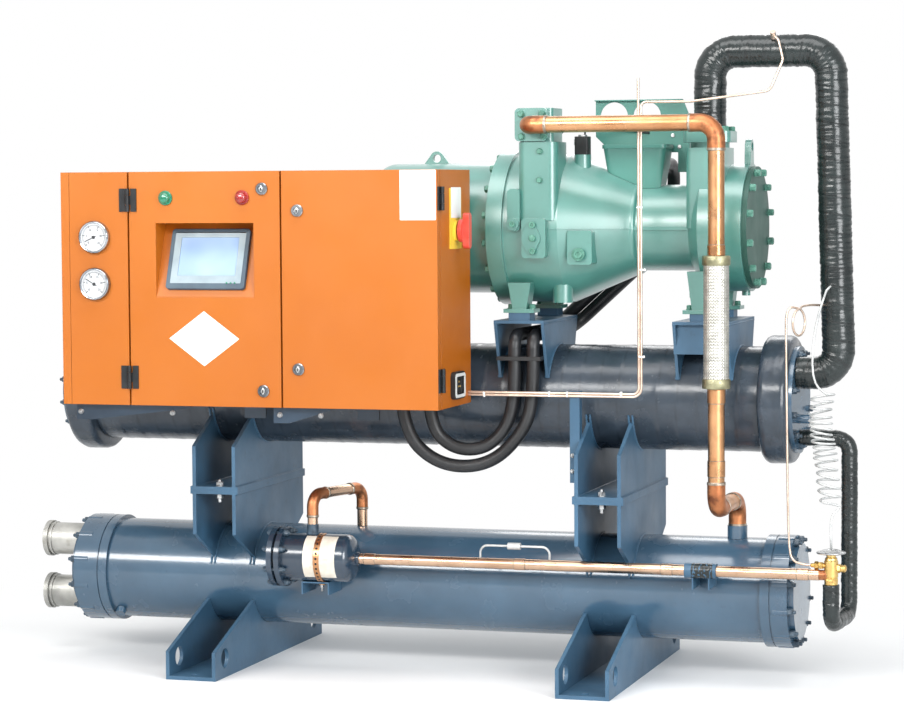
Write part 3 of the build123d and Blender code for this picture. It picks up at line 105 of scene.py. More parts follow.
class Shader:
    """A Principled material that is built up from a few procedural layers."""

    def __init__(self, name, rough=0.4, metal=0.0, coat=0.0, coat_rough=0.1):
        self.mat = bpy.data.materials.new(name)
        self.mat.use_nodes = True
        self.tree = self.mat.node_tree
        self.bsdf = self.tree.nodes["Principled BSDF"]
        self.bsdf.inputs["Metallic"].default_value = metal
        self.bsdf.inputs["Roughness"].default_value = rough
        self.bsdf.inputs["Coat Weight"].default_value = coat
        self.bsdf.inputs["Coat Roughness"].default_value = coat_rough
        self.bsdf.inputs["Coat IOR"].default_value = 1.75
        self.where = self.node("ShaderNodeTexCoord").outputs["Object"]
        self.normal = None
        self.colour = None

    def node(self, kind, **settings):
        n = self.tree.nodes.new(kind)
        for key, value in settings.items():
            setattr(n, key, value)
        return n

    def link(self, a, b):
        self.tree.links.new(a, b)

    def noise(self, scale, detail=4.0):
        n = self.node("ShaderNodeTexNoise")
        n.inputs["Scale"].default_value = scale
        n.inputs["Detail"].default_value = detail
        n.inputs["Roughness"].default_value = 0.55
        self.link(self.where, n.inputs["Vector"])
        return n.outputs["Fac"]

    def ramp(self, fac, low, high, first=0.35, last=0.65):
        r = self.node("ShaderNodeValToRGB")
        r.color_ramp.elements[0].position = first
        r.color_ramp.elements[1].position = last
        r.color_ramp.elements[0].color = linear(low)
        r.color_ramp.elements[1].color = linear(high)
        self.link(fac, r.inputs["Fac"])
        return r.outputs["Color"]

    def grey(self, fac, low, high, first=0.35, last=0.65):
        r = self.node("ShaderNodeMapRange")
        r.inputs["From Min"].default_value = first
        r.inputs["From Max"].default_value = last
        r.inputs["To Min"].default_value = low
        r.inputs["To Max"].default_value = high
        self.link(fac, r.inputs["Value"])
        return r.outputs["Result"]

    def math(self, how, a, b=None):
        m = self.node("ShaderNodeMath", operation=how)
        for socket, value in zip(m.inputs, (a, b)):
            if value is None:
                continue
            if isinstance(value, (int, float)):
                socket.default_value = value
            else:
                self.link(value, socket)
        return m.outputs["Value"]

    def paint(self, low, high, scale=3.0, first=0.35, last=0.65, detail=5.0):
        """Base colour that drifts between two shades."""
        self.colour = self.ramp(self.noise(scale, detail), low, high, first, last)
        return self

    def over(self, mask, colour):
        """Another colour laid over the base where the mask is 1."""
        m = self.node("ShaderNodeMix", data_type="RGBA")
        self.link(mask, m.inputs["Factor"])
        self.link(self.colour, m.inputs["A"])
        m.inputs["B"].default_value = linear(colour)
        self.colour = m.outputs["Result"]
        return self

    def specks(self, colour, scale, first, last, amount=1.0):
        return self.over(self.grey(self.noise(scale, 3.0), 0.0, amount, first, last), colour)

    def upward_tint(self, colour, amount):
        """A lighter colour, in patches, on faces turned upwards."""
        g = self.node("ShaderNodeNewGeometry")
        s = self.node("ShaderNodeSeparateXYZ")
        self.link(g.outputs["Normal"], s.inputs["Vector"])
        up = self.grey(s.outputs["Z"], 0.0, 1.0, 0.35, 0.95)
        patch = self.grey(self.noise(5.0, 6.0), 0.25, 1.0, 0.4, 0.65)
        return self.over(self.math("MULTIPLY", self.math("MULTIPLY", up, patch), amount), colour)

    def shine(self, low, high, scale, detail=4.0):
        """Roughness that varies over the surface."""
        rough = self.grey(self.noise(scale, detail), low, high, 0.3, 0.7)
        self.link(rough, self.bsdf.inputs["Roughness"])
        return self

    def soften(self, radius=0.0012):
        """Edges that catch the light as if they were slightly rounded."""
        n = self.node("ShaderNodeBevel", samples=4)
        n.inputs["Radius"].default_value = radius
        self.normal = n.outputs["Normal"]
        return self

    def grain(self, scale, distance, detail=3.0):
        n = self.node("ShaderNodeBump")
        n.inputs["Distance"].default_value = distance
        self.link(self.noise(scale, detail), n.inputs["Height"])
        if self.normal is not None:
            self.link(self.normal, n.inputs["Normal"])
        self.normal = n.outputs["Normal"]
        return self

    def attribute(self, name):
        return self.node("ShaderNodeAttribute", attribute_name=name).outputs["Fac"]

    def done(self):
        if self.colour is not None:
            self.link(self.colour, self.bsdf.inputs["Base Color"])
        if self.normal is not None:
            self.link(self.normal, self.bsdf.inputs["Normal"])
        return self.mat


def painted(name, low, high, rough, upward_tint, grain, scale=4.0, soft=0.0014, coat=0.0, coat_rough=0.12):
    s = Shader(name, coat=coat, coat_rough=coat_rough).paint(low, high, scale)
    if upward_tint:
        s.upward_tint(*upward_tint)
    s.shine(*rough, scale=9.0).soften(soft).grain(240, grain)
    return s


blue = painted("vessel_blue", (48, 75, 96), (61, 91, 114), (0.2, 0.3),
               ((140, 158, 172), 0.1), 0.00004, coat=0.5)
BLUE = blue.specks((40, 60, 78), 55, 0.62, 0.8, 0.3).grain(16, 0.0003).done()
steelwork = painted("steelwork_blue", (48, 80, 104), (64, 100, 127), (0.36, 0.5),
                    ((140, 158, 172), 0.05), 0.00008)
STEELWORK = steelwork.specks((38, 56, 72), 42, 0.6, 0.78, 0.35).done()
green = painted("compressor_green", (58, 116, 106), (70, 130, 120), (0.3, 0.4),
                ((176, 204, 200), 0.2), 0.00005, coat=1.0, coat_rough=0.3)
GREEN = green.specks((48, 104, 94), 30, 0.6, 0.8, 0.25).grain(60, 0.00012).done()
# Painted shade: a darker copy of the compressor green for the motor's end cover, which carries the same
# paint.
shaded_end_green = painted("end_cover_shaded_green", (28, 70, 60), (36, 80, 70), (0.42, 0.55),
                    ((140, 176, 168), 0.04), 0.00006)
SHADED_END_GREEN = shaded_end_green.done()
cover = painted("box_green", (62, 120, 109), (74, 134, 123), (0.3, 0.4),
                ((140, 176, 168), 0.12), 0.00006, soft=0.003, coat=0.2)
BOX_GREEN = cover.done()
# Dark paint of the filter drier; on the cabinet brackets the same colour is painted shade under the
# cabinet.
dark = painted("drier_paint_and_bracket_shade", (30, 45, 60), (46, 65, 83), (0.16, 0.26), None, 0.00005,
               coat=0.4)
DRIER_AND_BRACKET_SHADE = dark.done()
orange = painted("cabinet_orange", (172, 92, 12), (179, 99, 18), (0.34, 0.44), None,
                 0.00006, 1.5, 0.0016)
ORANGE = orange.done()

copper = Shader("copper", 0.3, 1.0)
copper.paint((182, 130, 90), (210, 162, 120), 9, 0.3, 0.7)
copper.specks((130, 88, 62), 26, 0.58, 0.75, 0.5).specks((222, 176, 138), 60, 0.62, 0.8, 0.5)
COPPER = copper.shine(0.22, 0.46, 20).soften(0.0012).grain(60, 0.0001).done()
pale = Shader("line_copper", 0.3, 1.0)
pale.paint((190, 156, 130), (214, 182, 156), 12, 0.3, 0.7)
pale.specks((150, 92, 64), 30, 0.6, 0.78, 0.5).shine(0.2, 0.38, 20).soften(0.0012)
PALE_COPPER = pale.grain(70, 0.0002).done()
dull = Shader("copper_elbow", 0.4, 1.0)
dull.paint((160, 100, 66), (200, 136, 94), 22, 0.3, 0.7)
ELBOW = dull.specks((96, 60, 48), 34, 0.52, 0.7, 0.8).shine(0.32, 0.55, 25).grain(90, 0.0005).done()
solder = Shader("solder", 0.35, 1.0)
SOLDER = solder.paint((132, 120, 108), (180, 168, 152), 60).shine(0.3, 0.5, 60).grain(150, 0.0006).done()

brass = Shader("brass", 0.28, 1.0)
brass.paint((194, 156, 88), (220, 188, 122), 18).specks((120, 88, 44), 50, 0.6, 0.8, 0.5)
BRASS = brass.shine(0.2, 0.42, 30).soften(0.0008).grain(120, 0.0003).done()
collar_metal = Shader("collar_brass", 0.36, 0.9)
collar_metal.paint((128, 126, 100), (164, 160, 130), 40, 0.3, 0.7).shine(0.3, 0.5, 40)
COLLAR = collar_metal.grain(140, 0.0005).done()
zinc = Shader("zinc_steel", 0.35, 1.0)
zinc.paint((150, 152, 154), (196, 197, 196), 40).shine(0.28, 0.48, 40).soften(0.0006)
ZINC = zinc.grain(200, 0.0003).done()
cast = Shader("grooved_steel", 0.42, 0.85)
cast.paint((150, 150, 146), (190, 189, 184), 12).specks((120, 110, 92), 30, 0.58, 0.75, 0.5)
GROOVED = cast.shine(0.34, 0.55, 18).soften(0.001).grain(90, 0.0006).done()
chrome = Shader("chrome", 0.12, 1.0)
chrome.paint((142, 147, 153), (182, 186, 190), 14).shine(0.08, 0.2, 25).grain(160, 0.0001)
CHROME = chrome.done()
bolts = Shader("bolt_green", 0.35)
bolts.paint((62, 110, 96), (88, 142, 125), 60).shine(0.3, 0.5, 40).soften(0.0006)
BOLT_GREEN = bolts.grain(180, 0.0004).done()
dark_bolts = Shader("bolt_blue", 0.35)
dark_bolts.paint((40, 54, 66), (64, 84, 100), 60).shine(0.3, 0.5, 40).soften(0.0006)
BOLT_BLUE = dark_bolts.grain(180, 0.0004).done()
black_metal = Shader("black_steel", 0.4, 0.3)
black_metal.paint((20, 22, 24), (38, 41, 44), 25).shine(0.3, 0.52, 20).soften(0.001)
BLACK = black_metal.grain(140, 0.0004).done()
plastic = Shader("black_plastic", 0.5)
plastic.paint((18, 19, 21), (30, 32, 34), 20).shine(0.42, 0.6, 30).soften(0.001)
PLASTIC = plastic.grain(420, 0.0002).done()
rubber = Shader("cable_rubber", 0.42)
rubber.paint((16, 17, 19), (31, 33, 36), 14).specks((66, 68, 70), 80, 0.64, 0.8, 0.35)
RUBBER = rubber.shine(0.34, 0.55, 16).grain(150, 0.0004).done()
grey = Shader("pale_grey", 0.45)
grey.paint((196, 198, 196), (214, 215, 212), 6).shine(0.38, 0.55, 20).soften(0.001)
GREY = grey.grain(220, 0.0002).done()
white = Shader("plate_white", 0.38)
white.paint((226, 227, 226), (238, 238, 236), 7).shine(0.3, 0.46, 20)
WHITE = white.grain(200, 0.00008).done()
cream = Shader("label_paper", 0.55)
cream.paint((206, 198, 184), (230, 224, 212), 24).specks((150, 140, 126), 60, 0.6, 0.8, 0.4)
CREAM = cream.shine(0.45, 0.65, 30).grain(160, 0.0003).done()
tube_white = Shader("tube_grey", 0.35, 0.3)
tube_white.paint((168, 170, 170), (198, 199, 198), 30).shine(0.28, 0.46, 30)
TUBE = tube_white.grain(160, 0.0002).done()
pink = Shader("thin_copper", 0.32, 0.9)
pink.paint((200, 178, 160), (222, 202, 186), 18).shine(0.26, 0.44, 30)
THIN_COPPER = pink.grain(150, 0.0002).done()

# The blocks in front of the mounting plate are darker than the plate.
BLOCKS_Y = -0.1980
gear = Shader("switchgear_grey", 0.45)
gear.paint((186, 189, 190), (208, 210, 209), 9)
depth = gear.node("ShaderNodeSeparateXYZ")
gear.link(gear.where, depth.inputs["Vector"])
gear.over(gear.grey(depth.outputs["Y"], 1.0, 0.0, BLOCKS_Y, BLOCKS_Y + MM), (52, 56, 61))
gear.shine(0.34, 0.52, 30).soften(0.001)
GEAR = gear.grain(300, 0.00006).done()


def lens_of(name, low, high):
    s = Shader(name, 0.12, coat=0.6, coat_rough=0.05)
    s.paint(low, high, 90, 0.3, 0.7).grain(500, 0.0003)
    return s.done()


GREEN_LENS = lens_of("lamp_green", (8, 100, 74), (16, 132, 98))
RED_LENS = lens_of("lamp_red", (122, 14, 18), (164, 28, 30))
red = Shader("switch_red", 0.3, coat=0.3)
red.paint((204, 66, 52), (218, 80, 64), 30).shine(0.26, 0.4, 30).soften(0.0015)
RED = red.grain(260, 0.0001).done()
yellow = Shader("switch_yellow", 0.4)
yellow.paint((226, 190, 52), (238, 204, 70), 20).shine(0.34, 0.48, 30).soften(0.001)
YELLOW = yellow.grain(260, 0.0001).done()
face = Shader("dial_face", 0.3, coat=0.7, coat_rough=0.03)
DIAL = face.paint((190, 193, 196), (206, 208, 210), 40).grain(240, 0.00003).done()
ink = Shader("dial_ink", 0.5)
INK = ink.paint((26, 27, 30), (44, 45, 48), 90).grain(300, 0.00003).done()
glass = Shader("screen", 0.42)
glass.paint((128, 156, 194), (160, 184, 214), 9, 0.3, 0.7, detail=1.5)
SCREEN = glass.shine(0.4, 0.5, 20).done()


def tape(name, low, high, rough, grain, wrinkle):
    """Black wrap: sheen that runs with the folds, and painted shade that darkens the folds and overlaps.
    """
    s = Shader(name, 0.3)
    s.paint(low, high, 12, 0.3, 0.7)
    # Painted shade: the wrap turns near-black where the mesh layer marks folds and overlaps.
    s.over(s.math("MULTIPLY", s.attribute("painted_shade"), 0.75), (8, 9, 10))
    s.shine(*rough, scale=26, detail=6)
    s.grain(90, grain, 5.0).grain(240, wrinkle, 3.0)
    return s.done()


TAPE = tape("wrap_tape", (40, 49, 58), (58, 68, 79), (0.16, 0.3), 0.0002, 0.0001)
CLOTH = tape("wrap_cloth", (18, 24, 25), (36, 44, 44), (0.16, 0.32), 0.0003, 0.00015)
weave = Shader("steel_braid", 0.35, 0.8)
weave.paint((178, 177, 170), (212, 211, 203), 50)
# Painted shade: brownish dark in the gaps between the braid's wires.
weave.over(weave.attribute("painted_shade"), (66, 58, 46))
BRAID = weave.shine(0.28, 0.5, 60).done()

look = {
    BLUE: "condenser_shell condenser_head_left condenser_head_right condenser_fittings "
          "evaporator_covers",
    # The cabinet brackets take the dark drier paint as painted shade under the cabinet.
    DRIER_AND_BRACKET_SHADE: "filter_drier cabinet_brackets",
    STEELWORK: "feet foot_side_plates lower_saddles upper_saddles pedestals pipe_brackets",
    GREEN: "oil_separator rotor_housing motor_housing lifting_eyes discharge_valve "
           "suction_valve",
    # The end cover gets the darker green as painted shade.
    SHADED_END_GREEN: "motor_end_cover",
    BOX_GREEN: "terminal_box gland_plate",
    ORANGE: "gauge_panel hmi_door power_door cabinet_case",
    COPPER: "discharge_pipe",
    PALE_COPPER: "liquid_pipes",
    THIN_COPPER: "gauge_tubes",
    TUBE: "bypass_tube capillary_tubes",
    BRAID: "braided_hose",
    BRASS: "expansion_valve",
    GROOVED: "condenser_water_stubs evaporator_water_stubs",
    TAPE: "evaporator_shell evaporator_flanges",
    CLOTH: "suction_pipe liquid_feed_pipe",
    PLASTIC: "hmi_panel oil_sensor service_socket cable_rail",
    BLACK: "hinge_leaves hmi_door_hinges power_door_hinges",
    CHROME: "pressure_gauges hmi_door_locks power_door_locks",
    GREEN_LENS: "green_lamp",
    RED_LENS: "red_lamp",
    YELLOW: "switch_base",
    RED: "switch_handle",
    GEAR: "switchgear",
    RUBBER: "power_cable_a power_cable_b motor_cables",
}
for mat, names in look.items():
    for name in names.split():
        ob = nodes[name]
        if not ob.material_slots:
            ob.data.materials.append(mat)
        for s in ob.material_slots:
            s.material = mat


# Mesh helpers, all in millimetres
def wave(*at):
    """Smooth noise between -1 and 1."""
    return noise.noise(Vector(at))


def axes_of(axis):
    z = Vector(axis).normalized()
    x = (Vector(UP) if abs(z.z) < 0.9 else Vector(RIGHT)).cross(z).normalized()
    return x, z.cross(x), z


def lathe(bm, profile, at, axis=UP, seg=40, mat=0, turn=0.0):
    """Closed body turned round an axis from (along, radius) points."""
    x, y, z = axes_of(axis)
    at = Vector(at)
    rings = []
    for h, r in profile:
        if r < 1e-4:
            rings.append([bm.verts.new(at + z * h)])
            continue
        rings.append([
            bm.verts.new(at + z * h + (x * cos(turn + i * tau / seg)
                                       + y * sin(turn + i * tau / seg)) * r)
            for i in range(seg)])
    made = []
    for a, b in zip(rings, rings[1:]):
        for i in range(seg):
            j = (i + 1) % seg
            loop = [a[i % len(a)], a[j % len(a)], b[j % len(b)], b[i % len(b)]]
            loop = list(dict.fromkeys(loop))
            if len(loop) > 2:
                made.append(bm.faces.new(loop))
    if len(rings[0]) > 1:
        made.append(bm.faces.new(rings[0][::-1]))
    if len(rings[-1]) > 1:
        made.append(bm.faces.new(rings[-1]))
    for f in made:
        f.material_index = mat


def slab(bm, low, high, soft=0.0, seg=2, mat=0, frame_at=None):
    """Box between two corners with softened edges, turned by frame_at if that is given."""
    low, high = Vector(low), Vector(high)
    size = high - low
    verts = [bm.verts.new(Vector((low.x + size.x * i, low.y + size.y * j, low.z + size.z * k)))
             for i in (0, 1) for j in (0, 1) for k in (0, 1)]
    quads = ((0, 1, 3, 2), (4, 6, 7, 5), (0, 4, 5, 1), (2, 3, 7, 6), (0, 2, 6, 4), (1, 5, 7, 3))
    faces = [bm.faces.new([verts[i] for i in q]) for q in quads]
    if soft:
        edges = list({e for f in faces for e in f.edges})
        made = bmesh.ops.bevel(bm, geom=edges, offset=soft, segments=seg, affect="EDGES", profile=0.5)
        faces = list(dict.fromkeys(f for v in made["verts"] for f in v.link_faces))
    for f in faces:
        f.material_index = mat
    if frame_at:
        for v in {v for f in faces for v in f.verts}:
            v.co = frame_at @ v.co


def plate(bm, outline, at, x, y, thick):
    """Flat plate with a polygon outline, given in the plane's own x and y."""
    at, x, y = Vector(at), Vector(x), Vector(y)
    z = x.cross(y)
    low = [bm.verts.new(at + x * u + y * v) for u, v in outline]
    high = [bm.verts.new(at + x * u + y * v + z * thick) for u, v in outline]
    bm.faces.new(low[::-1])
    bm.faces.new(high)
    for i in range(len(low)):
        j = (i + 1) % len(low)
        bm.faces.new([low[i], low[j], high[j], high[i]])


def round_rect(w, h, r, cx=0.0, cy=0.0):
    """Outline of a rectangle with round corners."""
    seg = 6
    out = []
    for sx, sy, start in ((1, 1, 0), (-1, 1, 90), (-1, -1, 180), (1, -1, 270)):
        for i in range(seg + 1):
            a = radians(start + 90 * i / seg)
            out.append((cx + sx * (w / 2 - r) + r * cos(a),
                        cy + sy * (h / 2 - r) + r * sin(a)))
    return out


def folded_mesh():
    """Empty mesh with a layer of painted shade, which grows with how deep a vertex lies in a fold."""
    bm = bmesh.new()
    return bm, bm.verts.layers.float.new("painted_shade")


def tube(bm, points, radius, seg=12, mat=0, relief=None, layer=None):
    """Closed tube along points. relief(along, angle) gives (radius, painted shade) for each vertex."""
    pts = [Vector(p) for p in points]
    ways = []
    for i in range(len(pts)):
        a, b = pts[max(i - 1, 0)], pts[min(i + 1, len(pts) - 1)]
        ways.append((b - a).normalized())
    x = axes_of(ways[0])[0]
    rings, along = [], 0.0
    for i, p in enumerate(pts):
        if i:
            x = ways[i - 1].rotation_difference(ways[i]) @ x
            along += (p - pts[i - 1]).length
        x = (x - ways[i] * x.dot(ways[i])).normalized()
        y = ways[i].cross(x)
        ring = []
        for k in range(seg):
            a = k * tau / seg
            r, painted_shade = relief(along, a) if relief else (radius, 0.0)
            v = bm.verts.new(p + (x * cos(a) + y * sin(a)) * r)
            if layer is not None:
                v[layer] = painted_shade
            ring.append(v)
        rings.append(ring)
    for a, b in zip(rings, rings[1:]):
        for k in range(seg):
            j = (k + 1) % seg
            bm.faces.new([a[k], a[j], b[j], b[k]]).material_index = mat
    bm.faces.new(rings[0][::-1]).material_index = mat
    bm.faces.new(rings[-1]).material_index = mat


def piece(name, bm, mats, body, sharp=35.0, replaces=()):
    """Makes an object from a mesh in millimetres and ties it to a CAD body."""
    bmesh.ops.recalc_face_normals(bm, faces=bm.faces)
    limit = radians(sharp)
    for f in bm.faces:
        f.smooth = True
    for e in bm.edges:
        e.smooth = len(e.link_faces) != 2 or e.calc_face_angle(0.0) < limit
    bmesh.ops.scale(bm, vec=(MM, MM, MM), verts=bm.verts)
    mesh = bpy.data.meshes.new(name)
    bm.to_mesh(mesh)
    bm.free()
    for m in mats:
        mesh.materials.append(m)
    ob = bpy.data.objects.new(name, mesh)
    scene.collection.objects.link(ob)
    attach(ob, body)
    if replaces:
        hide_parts(*replaces)
    return ob


def bolt(bm, at, axis, across=16.0, height=10.0, washer=True, stud=0.0, mat=0, turn=0.3):
    """Hex head with a chamfered top, on a washer, with a stud end if asked."""
    r = across / sqrt(3)
    base = 0.0
    if washer:
        lathe(bm, [(-0.5, across * 0.62), (1.6, across * 0.62), (2.2, across * 0.58)], at, axis, 20, mat)
        base = 2.0
    lathe(bm, [(base - 0.6, r), (base + height * 0.82, r), (base + height, r * 0.8)], at, axis, 6, mat,
          turn)
    if stud:
        lathe(bm, [(base + height - 1, across * 0.3), (base + height + stud - 1.5, across * 0.3),
                   (base + height + stud, across * 0.22)], at, axis, 14, mat)


def bead(bm, points, r, seed):
    """Weld bead with its ripples."""
    def relief(s, a):
        lump = wave(s * 0.12, seed, a)
        return r * (0.86 + 0.14 * sin(s * 1.3) + 0.16 * lump), 0
    tube(bm, points, r, 7, 0, relief)


def span(a, b, step):
    """Points from a to b at about the given step."""
    a, b = Vector(a), Vector(b)
    n = max(1, round((b - a).length / step))
    return [a.lerp(b, i / n) for i in range(n + 1)]


def bezier_line(corners, radii, step):
    """Evenly spaced points along a rigid pipe's centre line."""
    knots = [(Vector(corners[0]), None, None)]
    for i, r in enumerate(radii):
        before, here, after = (Vector(corners[i + j]) for j in (0, 1, 2))
        a, b = (before - here).normalized(), (after - here).normalized()
        half = (pi - a.angle(b)) / 2
        cut = r * tan(half)
        grip = 4 / 3 * tan(half / 2) * r
        knots.append((here + a * cut, None, here + a * (cut - grip)))
        knots.append((here + b * cut, here + b * (cut - grip), None))
    knots.append((Vector(corners[-1]), None, None))
    out = [knots[0][0]]
    for (p, _, out_grip), (q, in_grip, _) in zip(knots, knots[1:]):
        if out_grip is None:
            out += span(p, q, step)[1:]
        else:
            n = max(6, round((p - q).length * 1.12 / step))
            for i in range(1, n + 1):
                t = i / n
                out.append(p * (1 - t) ** 3 + out_grip * 3 * t * (1 - t) ** 2
                           + in_grip * 3 * t * t * (1 - t) + q * t ** 3)
    return out


# Hanging power cables, on the same route points as the CAD tubes
def power_cable(name, points, node):
    curve = bpy.data.curves.new(name, "CURVE")
    curve.dimensions = "3D"
    curve.resolution_u = 24
    curve.bevel_depth = 0.017
    curve.bevel_resolution = 8
    curve.use_fill_caps = True
    spline = curve.splines.new("NURBS")
    spline.points.add(len(points) - 1)
    for p, co in zip(spline.points, points):
        p.co = (co[0], co[1], co[2], 1.0)
    spline.order_u = 3
    spline.use_endpoint_u = True
    curve.materials.append(RUBBER)
    ob = bpy.data.objects.new(name, curve)
    scene.collection.objects.link(ob)
    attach(ob, "chiller")
    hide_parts(node)
    return ob


ROUTE_A = [(0, -0.232, 0.78), (0, -0.232, 0.656), (0.094, -0.214, 0.562), (0.226, -0.190, 0.562),
           (0.318, -0.174, 0.654), (0.338, -0.162, 0.744), (0.338, -0.162, 0.8377)]
ROUTE_B = [(0.072, -0.222, 0.78), (0.072, -0.222, 0.668), (0.134, -0.206, 0.606),
           (0.214, -0.186, 0.606), (0.270, -0.168, 0.664), (0.288, -0.162, 0.748),
           (0.288, -0.162, 0.8377)]
cable_one = power_cable("hanging_cable_one", ROUTE_A, "power_cable_a")
cable_two = power_cable("hanging_cable_two", ROUTE_B, "power_cable_b")


# Wrapped insulation
def wrap_relief(radius, low, pitch, seed):
    """Tape laid in a spiral, drawn tight into rings of small folds."""
    def relief(s, a):
        turn = (s / pitch + a / tau + 0.1 * wave(s * 0.01, seed, 0)) % 1.0
        c, d = cos(a), sin(a)
        ring = wave(s * 0.17, c * 0.5 + seed, d * 0.5)
        fold = wave(s * 0.07 + c * 0.3, c * 1.4 + seed, d * 1.4)
        fine = wave(s * 0.34, c * 1.6, d * 1.6 + seed)
        wide = wave(s * 0.014, c * 0.7, d * 0.7 + 7 + seed)
        lift = 0.26 * turn ** 3 + (0.34 * ring + 0.22 * fold + 0.14 * fine) + 0.2 * wide
        # Painted shade at the tape's overlap seam and in the troughs of the rings.
        painted_shade = max(0.0, 0.9 - 13 * min(turn, 1 - turn)) * 0.8 + max(0.0, -ring) * 0.5
        return radius - low + low * max(0.0, min(1.0, 0.5 + lift)), min(1.0, painted_shade)
    return relief


def wrapped(name, corners, radii, radius, node, pitch, seed, seg=72, step=2.4, low=3.6):
    """Insulated pipe that takes the place of a CAD node."""
    bm, painted_shade = folded_mesh()
    tube(bm, bezier_line(corners, radii, step), radius, seg, 0,
         wrap_relief(radius, low, pitch, seed), painted_shade)
    return piece(name, bm, [CLOTH], "chiller", 180, (node,))


wrapped("suction_wrap",
        [(785, SUCTION_Y, 1430), (785, SUCTION_Y, 1632), (1096, SUCTION_Y, 1632),
         (1120, SUCTION_Y, 808), (1013, SUCTION_Y, 808)],
        (66, 66, 60), 43, "suction_pipe", 46, 1.0)
wrapped("feed_wrap",
        [(1013, -18, 638), (1141, -18, 638), (1141, -18, 184),
         (VALVE_X, LINE_Y, 184), (VALVE_X, LINE_Y, 286)],
        (34, 40, 40), 22, "liquid_feed_pipe", 34, 5.0, 44, 2.2, 2.6)


def shell_relief(s, a):
    turn = (s / 52 + a / tau + 0.05 * wave(s * 0.006, 3, 0)) % 1.0
    c, d = cos(a), sin(a)
    fold = wave(s * 0.05, c * 2.2, d * 2.2)
    fine = wave(s * 0.16, c * 5, d * 5)
    wide = wave(s * 0.01, c * 1.5, d * 1.5 + 9)
    lift = 0.5 * turn ** 2 + 0.1 * fold + 0.06 * fine + 0.16 * wide
    # Painted shade along the tape's spiral seam.
    seam_shade = max(0.0, 0.9 - 16 * min(turn, 1 - turn))
    return EVAP_R - 1.8 + 1.8 * max(0.0, min(1.0, 0.3 + lift)), seam_shade * 0.5


bm, painted_shade = folded_mesh()
tube(bm, span((-EVAP_HALF, 0, EVAP_Z), (EVAP_HALF, 0, EVAP_Z), 5), EVAP_R, 168, 0, shell_relief, painted_shade)
piece("evaporator_wrap", bm, [TAPE], "chiller", 180, ("evaporator_shell",))

bm, painted_shade = folded_mesh()
for side in (-1, 1):
    def collar(s, a, side=side):
        c, d = cos(a), sin(a)
        edge = min(s, FLANGE_T - s)
        lump = wave(side * 4 + s * 0.012, c * 3.0, d * 3.0)
        fold = wave(s * 0.08 + side, c * 7, d * 7)
        crown = FLANGE_R - 11 + 10.2 * min(1.0, max(0.0, edge / 14)) ** 0.45
        # The second value is painted shade in the troughs of the folds.
        return min(FLANGE_R - 0.2, crown + 1.6 * lump + 0.8 * fold - 0.9), max(0.0, -fold) * 0.4
    ends = [(side * (EVAP_HALF + x), 0, EVAP_Z) for x in (0, FLANGE_T)]
    tube(bm, span(*ends, 4), FLANGE_R, 128, 0, collar, painted_shade)
piece("evaporator_flange_wraps", bm, [TAPE], "chiller", 180, ("evaporator_flanges",))

# Braided hose
def braid(s, a):
    n, k = 13, 0.40  # wires and their slope
    one, two = sin(n * a + k * s), sin(n * a - k * s)
    wire = 0.16 * sin(9 * (n * a + (k * s if one > two else -k * s)))
    ridge = max(abs(one), abs(two))
    # The second value is painted shade in the gaps between the wires.
    return 31.4 + 1.3 * ridge * (0.6 + 0.4 * one * two) + wire, max(0.0, 0.85 - ridge) * 1.5


bm, painted_shade = folded_mesh()
tube(bm, span((HOSE_X, HOT_Y, 790), (HOSE_X, HOT_Y, 1102), 1.3), 33, 156, 0, braid, painted_shade)
piece("hose_braid", bm, [BRAID], "chiller", 180, ("braided_hose",))
bm = bmesh.new()
for z in (778, 1088):
    lathe(bm, [(0, 27), (1, 34.4), (4, 35.8), (22, 35.8), (25, 34.4), (26, 27)],
          (HOSE_X, HOT_Y, z), UP, 48)
    for h in (7, 13, 19):
        lathe(bm, [(0, 35.2), (0.8, 36), (2.0, 36), (2.8, 35.2)], (HOSE_X, HOT_Y, z + h), UP, 48)
piece("hose_collars", bm, [COLLAR], "chiller")


# Copper joints
def elbow(bm, corner, a, b, bend, r, seg=28):
    """Swept elbow a little thicker than the pipe it joins, with a solder ring at each end."""
    corner, a, b = Vector(corner), Vector(a).normalized(), Vector(b).normalized()
    line = bezier_line([corner + a * (bend + 24), corner, corner + b * (bend + 24)], [bend], 4)
    tube(bm, line, r, seg)
    for way in (a, b):
        lathe(bm, [(-3, r - 1), (-2, r + 0.9), (3, r + 0.9), (5, r - 0.6)], corner + way * (bend + 22),
              way, seg, 1)


def socket(bm, at, axis, length, r, seg, mat):
    """Sleeve on a pipe, with a solder ring at each end."""
    lathe(bm, [(0, r - 1.4), (1, r), (length - 1, r), (length, r - 1.4)], at, axis, seg, mat)
    for h in (-2.2, length - 0.8):
        lathe(bm, [(0, r - 2.4), (1, r - 0.9), (2.2, r - 0.9), (3, r - 2.4)],
              at + Vector(axis) * h, axis, seg, 1)


